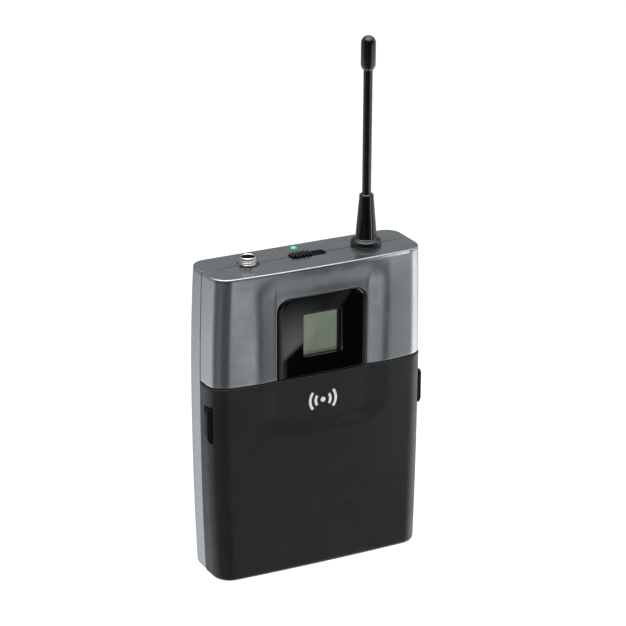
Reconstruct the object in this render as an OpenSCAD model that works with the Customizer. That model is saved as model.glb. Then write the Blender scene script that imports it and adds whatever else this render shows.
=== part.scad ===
// Wireless bodypack transmitter, an assembly of separate pieces, in millimetres.
// X runs across the case, -Y is the front with the display, +Z is up.
// The origin is on the bottom face, at mid width and at the middle of the case's depth.

/* [Case] */
// Width of the silver case halves
case_w = 65.8; // [65.4:0.1:66.2]
// Height of the case without the antenna
case_h = 90; // [89:0.5:92]
// Front face of the silver front half
front_y = -10.3; // [-10.6:0.1:-10.2]
// Rear face of the case
back_y = 10; // [9.9:0.1:10.4]
// Plane where the front and rear halves meet
part_y = 0.5; // [0.4:0.1:0.6]
// Radius of the case's upright corners
corner_r = 5.2; // [4.6:0.1:5.6]
// Thickness of the case's side, rear and bottom walls
wall = 1.5; // [1.4:0.1:1.5]
// Thickness of the case's top wall
top_wall = 1.8; // [1.6:0.1:1.9]

/* [Battery cover] */
// Height of the hinged battery cover
cover_h = 58; // [57.6:0.1:58]
// How far the cover stands out beyond the case at the sides and front
cover_proud = 0.2; // [0.1:0.05:0.3]
// Thickness of the cover's walls
cover_wall = 1.6; // [1.5:0.05:1.6]
// Depth of the finger dish around the display and the top of the cover
dish_depth = 0.7; // [0.4:0.1:0.8]
// Height of the cover hinge axis above the bottom
hinge_z = 2.4; // [2.3:0.1:2.4]
// Depth position of the cover hinge axis
hinge_y = -2.6; // [-2.8:0.1:-2.4]
// Radius of the hinge pins
hinge_pin_r = 0.8; // [0.6:0.05:0.9]

/* [Display] */
// Width of the gloss window
window_w = 27.8; // [27:0.1:28.6]
// Height of the window's top edge above the bottom
window_top = 81.6; // [81:0.1:82]
// Width of the clear part of the window
view_w = 12.2; // [11.6:0.1:12.8]
// Height of the clear part of the window
view_h = 13.2; // [12.6:0.1:13.6]
// Height of the middle of the clear part above the bottom
view_z = 70.5; // [70:0.1:71]

/* [Top fittings] */
// Distance of the audio jack from the case's middle
jack_x = 18.2; // [17.8:0.1:18.4]
// Inner radius of the jack, for a 3.5 mm plug
jack_bore_r = 1.8; // [1.76:0.01:1.85]
// Outer radius of the threaded collar
collar_r = 2.35; // [2.3:0.05:2.4]
// How far the collar stands above the case
collar_rise = 2.4; // [2:0.1:3]
// Distance of the antenna from the case's middle
antenna_x = 18.5; // [18.2:0.1:18.8]
// Radius of the antenna's whip
whip_r = 1.265; // [1.2:0.005:1.3]
// Height of the antenna above the case
antenna_h = 60.1; // [50:0.1:70]
// Travel of the mute slider
mute_travel = 4.2; // [4:0.1:4.2]

/* [Batteries] */
// Radius of an AA cell
cell_r = 7.25; // [7.1:0.05:7.25]
// Length of an AA cell with its positive nub
cell_length = 50.5; // [50:0.1:50.5]
// Height of the lower cell's axis
lower_cell_z = 10; // [10:0.05:10.05]
// Height of the upper cell's axis
upper_cell_z = 25.2; // [25.1:0.05:25.2]
// Depth position of both cells' axes
cell_y = 0.6; // [0.55:0.05:0.65]

/* [Belt clip] */
// Radius of the clip's wire
clip_wire_r = 1; // [0.9:0.05:1]
// Height of the clip's pivot above the bottom
clip_z = 76; // [75:0.5:77]
// Depth position of the clip's pivot
clip_y = 15.6; // [15.4:0.1:16]
// Distance of each leg of the clip from the middle
clip_leg_x = 15.6; // [15.4:0.1:17]

/* [Hidden] */
$fn = 64;
// Overlap that joins two solids into one
hair = 0.01;
// How far a cutter runs past the face that it cuts
past = 1;
// Gap between pieces that fit into each other
play = 0.1;
// Larger than the whole object
big = 200;

cover_rear_y = part_y - 0.15;
cover_w = case_w + 2 * cover_proud;
cover_front_y = front_y - cover_proud;
cover_inner_x = cover_w / 2 - cover_wall;
cover_inner_y = cover_front_y + cover_wall;
case_inner_x = case_w / 2 - wall;
case_inner_y = back_y - wall;
top_under_z = case_h - top_wall;
front_wall = 1.7;
seam = 0.3;
front_low_z = cover_h + seam;
window_gap = 0.15;
screw_hole_front_y = -6.5;

// Finger dish, centred on the window
dish_w = 34;
dish_low_z = 42.5;
dish_high_z = window_top + 3;
dish_r = 5;

// Catches in the sides of the cover
catch_z = 47;
catch_h = 10;
catch_front_y = -5.75;
catch_back_y = -2.7;
catch_gap = 0.35;
catch_out_x = cover_w / 2 + 0.6;
catch_flange_x = cover_inner_x - 0.3;
catch_flange_t = 1.7;
catch_leg_t = 0.8;
catch_travel = 1.2;
catch_spring_y = -4.2;
catch_spring_r = 1.3;
catch_spring_wire_r = 0.16;
catch_spring_seat_x = catch_flange_x + 0.8;
spring_rib_x = catch_flange_x - catch_flange_t - catch_travel - play;
spring_rib_t = 0.7;
spring_rib_h = 6;
spring_rib_back_y = -2.6;

// Strikes in the sides of the case that the catches hook behind
strike_in_x = 30.5;
strike_h = 8;
strike_front_y = -1.3;
strike_back_y = 2.5;
strike_lip_t = 0.4;
strike_window_w = 0.8;
strike_window_h = 5;

// Floor, foam pad and hinge lugs of the cover
cover_floor_top_z = 1.4;
cover_floor_open_y = hinge_y - 2.6;
pad_half_w = 15;
pad_t = 1.5;
pad_low_z = 4;
pad_high_z = 31;
lug_r = hinge_z;
lug_in_x = 29.6;
hinge_pin_in_x = 27.9;
hinge_pin_play = 0.04;

// Sign on the cover: height of its middle, thickness, dot radius, arc radii, line width and half its spread
emblem_z = 50.4;
emblem_t = 0.12;
emblem_dot_r = 0.75;
emblem_arcs_r = [2.3, 4];
emblem_line = 0.8;
emblem_half_angle = atan(4 / 5);

// Boards
board_front_y = 4.2;
board_t = 1;
panel_board_y = -3.2;
panel_back_y = panel_board_y + board_t;
board_back_y = board_front_y + board_t;
board_post_r = 2;
board_screw_r = 0.78;
board_screw_hole_end_y = 8;
board_screws_at = [for (sx = [-1, 1], z = [42, 72]) [sx * 26.3, z]];

// Long screws through the rear half: upper pair into the front half, lower pair into the fascia
upper_screws_at = [[-28.2, 84.5], [28.2, 84.5]];
lower_screws_at = [[-23, 36.4], [23, 36.4]];
case_screws_at = concat(upper_screws_at, lower_screws_at);
case_boss_r = 2.3;
fascia_boss_r = 2;
case_screw_r = 1;
case_screw_play = 0.15;
case_screw_head_r = 1.85;
case_screw_head_depth = 1.3;
screw_bite = 0.02;

// Keypad fascia and its four buttons
fascia_front_y = -7.2;
fascia_t = 1.2;
fascia_half_w = 27;
fascia_low_z = 33.7;
round_button_r = 3;
round_buttons_at = [-19, 19];
arrow_button_w = 8;
arrow_button_h = 5;
arrow_buttons_z = [42, 51];
round_button_z = 46.5;
button_gap = 0.2;
button_rim = 0.8;
switch_half_w = 2.25;
switch_body_t = 1.3;
switch_plunger_t = 1.7;
switch_plunger_r = 1.1;
button_front_y = fascia_front_y - 0.8;
button_flange_t = 0.4;

// Battery tray
tray_half_w = 29.4;
tray_cavity_x = 27.65;
tray_top_z = 33.6;
tray_front_y = -6.5;
tray_low_z = 1.8;
tray_floor_z = 2.4;
tray_roof_z = 32.8;
contact_x = 27.2;
contact_slot_low_z = 31;
contact_t = 0.4;
cell_nub_r = 2.75;
cell_nub_h = 1.3;
cell_gap = 0.02;
spring_length = contact_x * 2 - cell_length - 0.1;
spring_base_r = 4.2;
spring_end_r = 2.6;
spring_wire_r = 0.35;
spring_turns = 4;

// Display stack, from the window to the panel board
window_front_y = front_y + 0.5;
window_t = 1.6;
window_back_y = window_front_y + window_t;
window_r = 3.8;
lcd_front_y = -7.6;
lcd_t = 1.6;
lcd_half_w = 10.4;
lcd_low_z = 61.6;
lcd_high_z = 79.4;
window_flange_t = 0.25;
window_flange_w = 30.4;
window_flange_h = 23.4;
window_flange_z = 71.2;
lens_gap = 0.05;
lens_rim = 1.3;
lens_rim_t = 0.3;
elastomer_h = 1.8;

// Mute slider
knob_left_x = -5.2;
knob_w = 6.4;
slot_left_x = -5.4;
slot_w = knob_w + mute_travel + 2 * (knob_left_x - slot_left_x);
slot_d = 4;
slot_r = 1;
knob_d = 3.6;
knob_r = 0.9;
knob_rise = 0.7;
knob_plate_low_z = 87.3;
knob_plate_high_z = 87.95;
knob_ribs = 6;
mute_switch_half_w = 6.5;
mute_switch_low_z = 80;
mute_switch_top_z = 85.3;
mute_lever_left_x = -2.45;
mute_lever_w = 0.9;
mute_lever_low_z = 82.2;
mute_lever_high_z = 87.2;

// Microphone jack: the collar's thread ends above a narrower barrel with a shoulder under the top wall
barrel_r = collar_r - 0.25;
barrel_low_z = 81;
collar_low_z = case_h + 0.1;
shoulder_r = 3;
shoulder_low_z = 86.8;
jack_recess_r = 3.25;
jack_recess_d = 0.8;
jack_half_w = 3.5;
jack_front_y = -2.7;
jack_low_z = 74;
jack_high_z = 86.6;
jack_slot_low_z = 75.5;
jack_slot_high_z = 76.3;
jack_leaf_w = 0.6;
jack_leaves_at = [-0.9, 0, 0.9];

// Antenna: boot, its flange on the case, its neck through the top wall, and the tip
whip_low_z = 80;
boot_neck_r = 2.6;
boot_foot_r = 3.2;
boot_flange_r = 4.4;
boot_h = 15;
tip_r = 2.05;
tip_length = 10.6;
socket_low_z = 78.5;
socket_top_z = 86.5;

// Belt clip: the block it plugs into, its plugs, and the heights where its legs bend and end
clip_boss_half_w = 13;
clip_boss_r = 2.4;
clip_plug_in_x = 9;
clip_plug_out_x = 13.3;
clip_bend_z = 46.5;
clip_near_y = 11.1;
clip_near_z = 34.5;
clip_end_y = 13.9;
clip_end_z = 29.5;

// Status LED and its light pipe
led_x = -0.9;
led_y = 6.95;
pipe_r = 1;
led_low_z = 84.2;
led_high_z = 85.8;

// ---------- helpers ----------

// Rectangle of width w from y0 to y1, with corners of radius r, centred on X
module rounded_rect(w, y0, y1, r) {
    translate([-w / 2 + r, y0]) square([w - 2 * r, y1 - y0]);
    translate([-w / 2, y0 + r]) square([w, y1 - y0 - 2 * r]);
    for (sx = [-1, 1], y = [y0 + r, y1 - r])
        translate([sx * (w / 2 - r), y]) circle(r);
}

// Block between two opposite corners
module block(low, high) {
    translate(low) cube(high - low);
}

// Upright cylinder from z0 to z1
module post(x, y, z0, z1, r) {
    translate([x, y, z0]) cylinder(h = z1 - z0, r = r);
}

// Cylinder along Y, from y0 to y1, at (x, z)
module rod_y(x, z, y0, y1, r) {
    translate([x, y0, z]) rotate([-90, 0, 0]) cylinder(h = y1 - y0, r = r);
}

// Cylinder along X, from x0 to x1, at (y, z)
module rod_x(y, z, x0, x1, r) {
    translate([x0, y, z]) rotate([0, 90, 0]) cylinder(h = x1 - x0, r = r);
}

// Plate lying across Y, whose outline is given in X and Z
module plate_y(y0, y1) {
    translate([0, y1, 0]) rotate([90, 0, 0]) linear_extrude(y1 - y0) children();
}

// Copies what it is given to the left and right
module both_sides() {
    children();
    mirror([1, 0, 0]) children();
}

// The case's outer block, or the space inside it
module case_block(inset, z0, z1) {
    translate([0, 0, z0]) linear_extrude(z1 - z0)
        rounded_rect(case_w - 2 * inset, front_y + inset, back_y - inset, corner_r - inset);
}

function unit(v) = v / norm(v);

// Points along an arc of radius r that rounds the corner at p, between a and c
function rounded_corner(a, p, c, r) = let (
    u = unit(a - p),
    v = unit(c - p),
    half = acos(u * v) / 2,
    sweep = 180 - 2 * half,
    centre = p + unit(u + v) * r / sin(half),
    from_centre = p + u * r / tan(half) - centre,
    to_centre = p + v * r / tan(half) - centre,
    steps = 6
) [for (i = [0 : steps]) let (f = i / steps)
    centre + (sin((1 - f) * sweep) * from_centre + sin(f * sweep) * to_centre) / sin(sweep)];

// A closed tube through rings of points, each ring turning clockwise as seen along the tube
module tube(points, sides) {
    last = len(points) / sides - 1;
    start_cap = [[for (s = [sides - 1 : -1 : 0]) s]];
    end_cap = [[for (s = [0 : sides - 1]) last * sides + s]];
    skin = [for (i = [0 : last - 1], s = [0 : sides - 1]) let (t = (s + 1) % sides)
        [i * sides + s, i * sides + t, (i + 1) * sides + t, (i + 1) * sides + s]];
    polyhedron(points = points, faces = concat(start_cap, end_cap, skin));
}

// A round wire along a path that never runs along Y, as one solid
module swept_wire(path, r) {
    sides = 12;
    last = len(path) - 1;
    tube([for (i = [0 : last]) let (
        t = unit(path[min(i + 1, last)] - path[max(i - 1, 0)]),
        n = unit(cross(t, [0, 1, 0])),
        m = cross(n, t)
    ) for (s = [0 : sides - 1]) let (b = 360 * s / sides)
        path[i] + r * (cos(b) * n + sin(b) * m)], sides);
}

// Coil spring along +Z whose mean radius goes from r0 to r1, as one solid
module coil_spring(r0, r1, wire_r, height, turns) {
    sides = 8;
    steps = ceil(turns * 14);
    tube([for (i = [0 : steps]) let (
        f = i / steps,
        a = 360 * turns * f,
        r = r0 + (r1 - r0) * f,
        z = wire_r + (height - 2 * wire_r) * f
    ) for (s = [0 : sides - 1]) let (b = 360 * s / sides, q = r + wire_r * cos(b))
        [q * cos(a), q * sin(a), z + wire_r * sin(b)]], sides);
}

// Openings in the top wall, centred on the plane where the halves meet
module top_openings() {
    low_z = top_under_z - past;
    high_z = case_h + past;
    post(-jack_x, part_y, low_z, high_z, collar_r + play);
    post(-jack_x, part_y, case_h - jack_recess_d, high_z, jack_recess_r);
    post(antenna_x, part_y, low_z, high_z, boot_neck_r + play / 2);
    translate([slot_left_x + slot_w / 2, part_y, low_z])
        linear_extrude(high_z - low_z) rounded_rect(slot_w, -slot_d / 2, slot_d / 2, slot_r);
}

// Finger dish around the window, cut into whatever front it is taken from
module dish(face_y) {
    plate_y(face_y - 2, face_y + dish_depth)
        rounded_rect(dish_w, dish_low_z, dish_high_z, dish_r);
}

// ---------- case ----------

module rear_case() {
    color([0.68, 0.70, 0.72])
    difference() {
        union() {
            difference() {
                case_block(0, 0, case_h);
                case_block(wall, wall, top_under_z);
                block([-big, -big, -past], [big, part_y, case_h + past]);
            }
            for (p = case_screws_at)
                rod_y(p[0], p[1], part_y, case_inner_y + hair, case_boss_r);
            for (p = board_screws_at)
                rod_y(p[0], p[1], board_back_y, case_inner_y + hair, board_post_r);
            both_sides() strike();
            clip_boss();
        }
        top_openings();
        post(led_x, led_y, top_under_z - past, case_h + past, pipe_r + play / 2);
        for (p = case_screws_at) {
            rod_y(p[0], p[1], part_y - past, back_y + past, case_screw_r + case_screw_play);
            rod_y(p[0], p[1], back_y - case_screw_head_depth, back_y + past,
                  case_screw_head_r + case_screw_play);
        }
        for (p = board_screws_at)
            rod_y(p[0], p[1], board_front_y, board_screw_hole_end_y, board_screw_r + screw_bite);
        both_sides()
            rod_x(clip_y, clip_z, clip_plug_in_x - 0.3, clip_boss_half_w + past, clip_wire_r + play / 2);
    }
}

// Ledge inside the case's side that a catch hooks behind, with a window for its lip
module strike() {
    low_z = catch_z - strike_h / 2;
    high_z = catch_z + strike_h / 2;
    window_front_y = strike_front_y + strike_lip_t;
    difference() {
        block([strike_in_x, strike_front_y, low_z], [case_inner_x - 0.15, part_y, high_z]);
        block([strike_in_x - past, window_front_y, catch_z - strike_window_h / 2],
              [case_inner_x + past, window_front_y + strike_window_w, catch_z + strike_window_h / 2]);
    }
    block([strike_in_x, part_y, low_z], [case_inner_x + 0.2, strike_back_y, high_z]);
}

// Raised block on the rear that the belt clip's ends plug into
module clip_boss() {
    block([-clip_boss_half_w, case_inner_y + 0.5, clip_z - clip_boss_r],
          [clip_boss_half_w, clip_y, clip_z + clip_boss_r]);
    rod_x(clip_y, clip_z, -clip_boss_half_w, clip_boss_half_w, clip_boss_r);
}

module front_case() {
    color([0.68, 0.70, 0.72])
    difference() {
        union() {
            difference() {
                case_block(0, front_low_z, case_h);
                difference() {
                    case_block(wall, front_low_z - past, top_under_z);
                    block([-big, -big, 0], [big, front_y + front_wall, case_h]);
                }
                block([-big, part_y, 0], [big, big, case_h + past]);
            }
            for (p = upper_screws_at)
                rod_y(p[0], p[1], front_y + front_wall - hair, part_y, case_boss_r);
        }
        top_openings();
        dish(front_y);
        plate_y(front_y - past, front_y + front_wall + past / 2) window_outline(window_gap);
        for (p = upper_screws_at)
            rod_y(p[0], p[1], screw_hole_front_y, part_y + past, case_screw_r + screw_bite);
    }
}

// Outline of the window in X and Z: square at the bottom, round at the top
module window_outline(gap) {
    half = window_w / 2 + gap;
    r = window_r + gap;
    low = front_low_z + (gap > 0 ? -past : play / 2);
    high = window_top + gap;
    translate([-half, low]) square([2 * half, high - r - low]);
    translate([-half + r, low]) square([2 * (half - r), high - low]);
    for (sx = [-1, 1])
        translate([sx * (half - r), high - r]) circle(r);
}

// ---------- battery cover ----------

// The cover's outer block, or the space inside it
module cover_block(inset, z0, z1) {
    translate([0, 0, z0]) linear_extrude(z1 - z0)
        rounded_rect(cover_w - 2 * inset, cover_front_y + inset, back_y, corner_r + cover_proud - inset);
}

module battery_cover() {
    color([0.13, 0.14, 0.15])
    difference() {
        union() {
            difference() {
                cover_block(0, 0, cover_h);
                cover_block(cover_wall, cover_floor_top_z, cover_h + past);
                block([-cover_inner_x, cover_floor_open_y, -past], [cover_inner_x, big, 2]);
            }
            both_sides() rod_x(hinge_y, hinge_z, lug_in_x, cover_inner_x + hair, lug_r);
            both_sides()
                block([spring_rib_x - spring_rib_t, cover_inner_y - hair, catch_z - spring_rib_h / 2],
                      [spring_rib_x, spring_rib_back_y, catch_z + spring_rib_h / 2]);
        }
        block([-big, cover_rear_y, -past], [big, big, cover_h + past]);
        hinge_corner();
        dish(cover_front_y);
        both_sides()
            rod_x(hinge_y, hinge_z, lug_in_x - past, cover_inner_x + 0.4, hinge_pin_r + hinge_pin_play);
        both_sides()
            block([cover_inner_x - 2, catch_front_y - catch_gap, catch_z - catch_h / 2 - catch_gap],
                  [cover_inner_x + 3, catch_back_y + catch_gap, catch_z + catch_h / 2 + catch_gap]);
    }
}

// Rounds the lower rear corner about the hinge axis, so that it clears the case as it turns
module hinge_corner() {
    difference() {
        block([-big, hinge_y, -past], [big, back_y, hinge_z]);
        rod_x(hinge_y, hinge_z, -big, big, cover_rear_y - hinge_y);
    }
}

module battery_pad() {
    color([0.2, 0.2, 0.2])
    block([-pad_half_w, cover_inner_y, pad_low_z], [pad_half_w, cover_inner_y + pad_t, pad_high_z]);
}

// Generic radio sign: a dot between two pairs of arcs that open sideways
module cover_emblem() {
    face_y = cover_front_y + dish_depth;
    reach = 5;
    color([0.85, 0.86, 0.87])
    plate_y(face_y - emblem_t, face_y)
        translate([0, emblem_z]) {
            circle(emblem_dot_r);
            both_sides()
                for (r = emblem_arcs_r)
                    intersection() {
                        difference() {
                            circle(r + emblem_line / 2);
                            circle(r - emblem_line / 2);
                        }
                        polygon([for (a = [0, -emblem_half_angle, emblem_half_angle])
                            [a == 0 ? 0 : reach, reach * tan(a)]]);
                    }
        }
}

module cover_hinge_pins() {
    color([0.7, 0.7, 0.7])
    both_sides() rod_x(hinge_y, hinge_z, hinge_pin_in_x, cover_inner_x - play, hinge_pin_r);
}

// One catch, on the right: the pad in the cover's side, the flange behind it and the leg that hooks in
module catch() {
    flange_in_x = catch_flange_x - catch_flange_t;
    flange_half_h = catch_h / 2 + 1.6;
    leg_half_h = 3.5;
    leg_end_y = -0.2;
    difference() {
        union() {
            block([catch_flange_x - play, catch_front_y, catch_z - catch_h / 2],
                  [catch_out_x, catch_back_y, catch_z + catch_h / 2]);
            block([flange_in_x, catch_front_y - 0.15, catch_z - flange_half_h],
                  [catch_flange_x, catch_back_y + 0.8, catch_z + flange_half_h]);
            block([flange_in_x, catch_back_y, catch_z - leg_half_h],
                  [flange_in_x + catch_leg_t, leg_end_y, catch_z + leg_half_h]);
        }
        rod_x(catch_spring_y, catch_z, flange_in_x - past, catch_spring_seat_x, catch_spring_r + 0.2);
    }
}

module catch_right() {
    color([0.16, 0.16, 0.17]) catch();
}

module catch_left() {
    color([0.16, 0.16, 0.17]) mirror([1, 0, 0]) catch();
}

module catch_spring() {
    end_gap = 0.02;
    mean_r = catch_spring_r - 0.25;
    length = catch_spring_seat_x - spring_rib_x - 2 * end_gap;
    translate([spring_rib_x + end_gap, catch_spring_y, catch_z]) rotate([0, 90, 0])
        coil_spring(mean_r, mean_r, catch_spring_wire_r, length, 5);
}

module catch_spring_right() {
    color([0.75, 0.75, 0.78]) catch_spring();
}

module catch_spring_left() {
    color([0.75, 0.75, 0.78]) mirror([1, 0, 0]) catch_spring();
}

// ---------- display ----------

module window_panel() {
    color([0.03, 0.03, 0.03])
    difference() {
        union() {
            plate_y(window_front_y, window_back_y) window_outline(0);
            plate_y(front_y + front_wall, window_back_y + window_flange_t)
                translate([0, window_flange_z]) square([window_flange_w, window_flange_h], center = true);
        }
        block([-view_w / 2, window_front_y - past, view_z - view_h / 2],
              [view_w / 2, window_back_y + past, view_z + view_h / 2]);
    }
}

module display_lens() {
    lens_back_y = window_back_y + window_flange_t;
    half_w = view_w / 2 - lens_gap;
    half_h = view_h / 2 - lens_gap;
    rim_half_w = view_w / 2 + lens_rim;
    rim_half_h = view_h / 2 + lens_rim - play;
    color([0.75, 0.8, 0.8, 0.4]) {
        block([-half_w, window_front_y + play, view_z - half_h], [half_w, lens_back_y, view_z + half_h]);
        block([-rim_half_w, lens_back_y, view_z - rim_half_h],
              [rim_half_w, lens_back_y + lens_rim_t, view_z + rim_half_h]);
    }
}

module lcd_panel() {
    color([0.6, 0.66, 0.6])
    block([-lcd_half_w, lcd_front_y, lcd_low_z], [lcd_half_w, lcd_front_y + lcd_t, lcd_high_z]);
}

module light_guide() {
    back_y = panel_board_y - 1;
    color([0.9, 0.92, 0.9])
    block([-lcd_half_w, lcd_front_y + lcd_t, lcd_low_z + 2.6], [lcd_half_w, back_y, lcd_high_z]);
}

module elastomer_strip() {
    half_w = lcd_half_w - 0.9;
    low_z = lcd_low_z + 0.2;
    color([0.9, 0.55, 0.6])
    block([-half_w, lcd_front_y + lcd_t, low_z], [half_w, panel_board_y, low_z + elastomer_h]);
}

module lcd_holder() {
    outer_half_w = lcd_half_w + 2.1;
    color([0.93, 0.93, 0.92])
    difference() {
        block([-outer_half_w, lcd_front_y - play, lcd_low_z - 1.6],
              [outer_half_w, panel_board_y, lcd_high_z + 1.6]);
        block([-lcd_half_w - play, -big, lcd_low_z - play], [lcd_half_w + play, big, lcd_high_z + play]);
    }
}

module panel_board() {
    half_w = 25.6;
    neck_half_w = 13.5;
    color([0.05, 0.35, 0.2])
    difference() {
        block([-half_w, panel_board_y, 39.6], [half_w, panel_back_y, 82]);
        both_sides() block([neck_half_w, -big, 74], [big, big, case_h]);
    }
}

module tact_switch(x, z) {
    body_y = panel_board_y - switch_body_t;
    block([x - switch_half_w, body_y, z - switch_half_w],
          [x + switch_half_w, panel_board_y, z + switch_half_w]);
    rod_y(x, z, panel_board_y - switch_plunger_t, body_y + hair, switch_plunger_r);
}

module tact_switches() {
    color([0.75, 0.75, 0.76]) {
        for (x = round_buttons_at) tact_switch(x, round_button_z);
        for (z = arrow_buttons_z) tact_switch(0, z);
    }
}

// Square chip of width w and thickness t, centred at p in X and Z, standing up from y
module chip(p, w, y, t) {
    block([p[0] - w / 2, y, p[1] - w / 2], [p[0] + w / 2, y + t, p[1] + w / 2]);
}

module display_chip() {
    color([0.08, 0.08, 0.09])
    chip([-15, 60], 10, panel_back_y, 1.2);
}

// ---------- keypad ----------

module keypad_fascia() {
    fascia_back_y = fascia_front_y + fascia_t;
    lip_front_y = fascia_front_y - 1.4;
    side_t = 0.8;
    color([0.1, 0.1, 0.11])
    difference() {
        union() {
            block([-fascia_half_w, fascia_front_y, fascia_low_z],
                  [fascia_half_w, fascia_back_y, front_low_z]);
            block([-fascia_half_w, lip_front_y, front_low_z - 0.9],
                  [fascia_half_w, fascia_back_y, front_low_z]);
            both_sides()
                block([fascia_half_w - side_t, fascia_back_y - hair, fascia_low_z],
                      [fascia_half_w, part_y - play, front_low_z]);
            for (p = lower_screws_at)
                rod_y(p[0], p[1], fascia_back_y - hair, part_y, fascia_boss_r);
        }
        for (x = round_buttons_at)
            rod_y(x, round_button_z, fascia_front_y - past, fascia_back_y + past,
                  round_button_r + button_gap);
        for (z = arrow_buttons_z)
            translate([0, 0, z]) plate_y(fascia_front_y - past, fascia_back_y + past)
                rounded_rect(arrow_button_w + 2 * button_gap, -arrow_button_h / 2 - button_gap,
                             arrow_button_h / 2 + button_gap, 1 + button_gap);
        for (p = lower_screws_at)
            rod_y(p[0], p[1], fascia_back_y + past, part_y + past, case_screw_r + screw_bite);
    }
}

module round_button(x) {
    flange_y = fascia_front_y + fascia_t + play;
    rod_y(x, round_button_z, button_front_y, flange_y + button_flange_t, round_button_r);
    rod_y(x, round_button_z, flange_y, flange_y + button_flange_t, round_button_r + button_rim);
}

module arrow_button(z) {
    flange_y = fascia_front_y + fascia_t + play;
    rim_half_h = arrow_button_h / 2 + button_rim;
    translate([0, 0, z]) {
        plate_y(button_front_y, flange_y + button_flange_t)
            rounded_rect(arrow_button_w, -arrow_button_h / 2, arrow_button_h / 2, 1);
        plate_y(flange_y, flange_y + button_flange_t)
            rounded_rect(arrow_button_w + 2 * button_rim, -rim_half_h, rim_half_h, 1);
    }
}

module power_button() {
    color([0.65, 0.1, 0.1]) round_button(round_buttons_at[0]);
}

module set_button() {
    color([0.35, 0.36, 0.38]) round_button(round_buttons_at[1]);
}

module down_button() {
    color([0.35, 0.36, 0.38]) arrow_button(arrow_buttons_z[0]);
}

module up_button() {
    color([0.35, 0.36, 0.38]) arrow_button(arrow_buttons_z[1]);
}

// ---------- electronics ----------

module main_board() {
    half_w = 30.1;
    notch = case_boss_r + 0.5;
    color([0.05, 0.35, 0.2])
    difference() {
        block([-half_w, board_front_y, 34], [half_w, board_back_y, 87]);
        for (p = upper_screws_at)
            block([p[0] - notch, 0, p[1] - notch], [p[0] + notch, back_y, case_h]);
        for (p = lower_screws_at)
            rod_y(p[0], p[1], 0, back_y, case_boss_r + 0.4);
        for (p = board_screws_at)
            rod_y(p[0], p[1], 0, back_y, 1.1);
    }
}

module rf_shield_can() {
    can = [21, 2.6, 26];
    sheet = 0.3;
    color([0.75, 0.76, 0.78])
    translate([2, board_back_y, 48]) difference() {
        cube(can);
        translate([sheet, -past, sheet]) cube(can + [-2 * sheet, past - sheet, -2 * sheet]);
    }
}

module radio_chips() {
    color([0.08, 0.08, 0.09]) {
        chip([8.5, 55.5], 7, board_back_y, 1);
        chip([16.5, 64.5], 5, board_back_y, 1);
        chip([-13, 57], 10, board_front_y - 1.2, 1.2);
    }
}

module filter_capacitors() {
    can_r = 1.6;
    can_h = 5.8;
    pitch = 4.6;
    color([0.75, 0.65, 0.35])
    for (i = [0 : 3])
        translate([-22 + pitch * i, board_back_y + can_r + hair * 2, 66]) cylinder(h = can_h, r = can_r);
}

module power_inductor() {
    height = 3.2;
    color([0.2, 0.2, 0.21])
    chip([13.5, 53.5], 7, board_front_y - height, height);
}

module board_header() {
    half_w = 12;
    low_z = 44;
    color([0.1, 0.1, 0.1])
    block([-half_w, panel_back_y, low_z], [half_w, board_front_y, low_z + 2.5]);
}

// Screw with a cross slot, its head above Z = 0 and its shank below
module pan_screw(shank_r, head_r, head_h, length) {
    slot_length = head_r * 1.2;
    slot_w = 0.4;
    slot_low_z = head_h * 0.45;
    difference() {
        union() {
            cylinder(h = head_h, r = head_r);
            translate([0, 0, -length]) cylinder(h = length + hair, r = shank_r);
        }
        for (a = [0, 90])
            rotate([0, 0, a]) translate([-slot_length / 2, -slot_w / 2, slot_low_z])
                cube([slot_length, slot_w, head_h]);
    }
}

module board_screws() {
    color([0.72, 0.72, 0.74])
    for (p = board_screws_at)
        translate([p[0], board_front_y, p[1]]) rotate([90, 0, 0])
            pan_screw(board_screw_r, 1.7, 1, 3.6);
}

module case_screws() {
    color([0.3, 0.3, 0.32])
    for (p = case_screws_at)
        translate([p[0], back_y - case_screw_head_depth, p[1]]) rotate([-90, 0, 0])
            pan_screw(case_screw_r, case_screw_head_r, 1.1, 13);
}

// ---------- battery compartment ----------

module battery_tray() {
    cavity_back_y = cell_y + cell_r + play;
    back_half_w = 28.2;
    back_t = 0.5;
    color([0.11, 0.11, 0.12])
    difference() {
        union() {
            block([-tray_half_w, tray_front_y, tray_low_z], [tray_half_w, cavity_back_y, tray_top_z]);
            block([-back_half_w, 0, tray_low_z], [back_half_w, cavity_back_y + back_t, tray_top_z]);
            block([-tray_half_w, hinge_y, 0], [tray_half_w, cover_rear_y, hinge_z]);
            rod_x(hinge_y, hinge_z, -tray_half_w, tray_half_w, hinge_z);
        }
        difference() {
            block([-tray_cavity_x, tray_front_y - past, tray_floor_z],
                  [tray_cavity_x, cavity_back_y, tray_roof_z]);
            cell_rib(cavity_back_y + hair);
        }
        both_sides() rod_x(hinge_y, hinge_z, hinge_pin_in_x - past, tray_half_w + past, hinge_pin_r);
        both_sides() contact_slots();
    }
}

// Thin rib on the tray's back, between the two cells
module cell_rib(back_y) {
    rib_half_w = 20;
    rib_t = 0.4;
    rib_z = (lower_cell_z + upper_cell_z) / 2;
    block([-rib_half_w, 3, rib_z - rib_t / 2], [rib_half_w, back_y, rib_z + rib_t / 2]);
}

// Slots that the contact plates' solder tabs pass through
module contact_slots() {
    block([contact_x - play, 3, contact_slot_low_z], [tray_cavity_x + play, 4.6, tray_top_z + past]);
}

// Contact plate on the right, between two heights
module contact_plate(z0, z1) {
    block([contact_x, -4, z0], [contact_x + contact_t, 5.4, z1]);
}

// Solder tab that runs up from a contact plate
module contact_tab() {
    block([contact_x, 3.2, 30], [contact_x + contact_t, 4.2, 35.5]);
}

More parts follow.
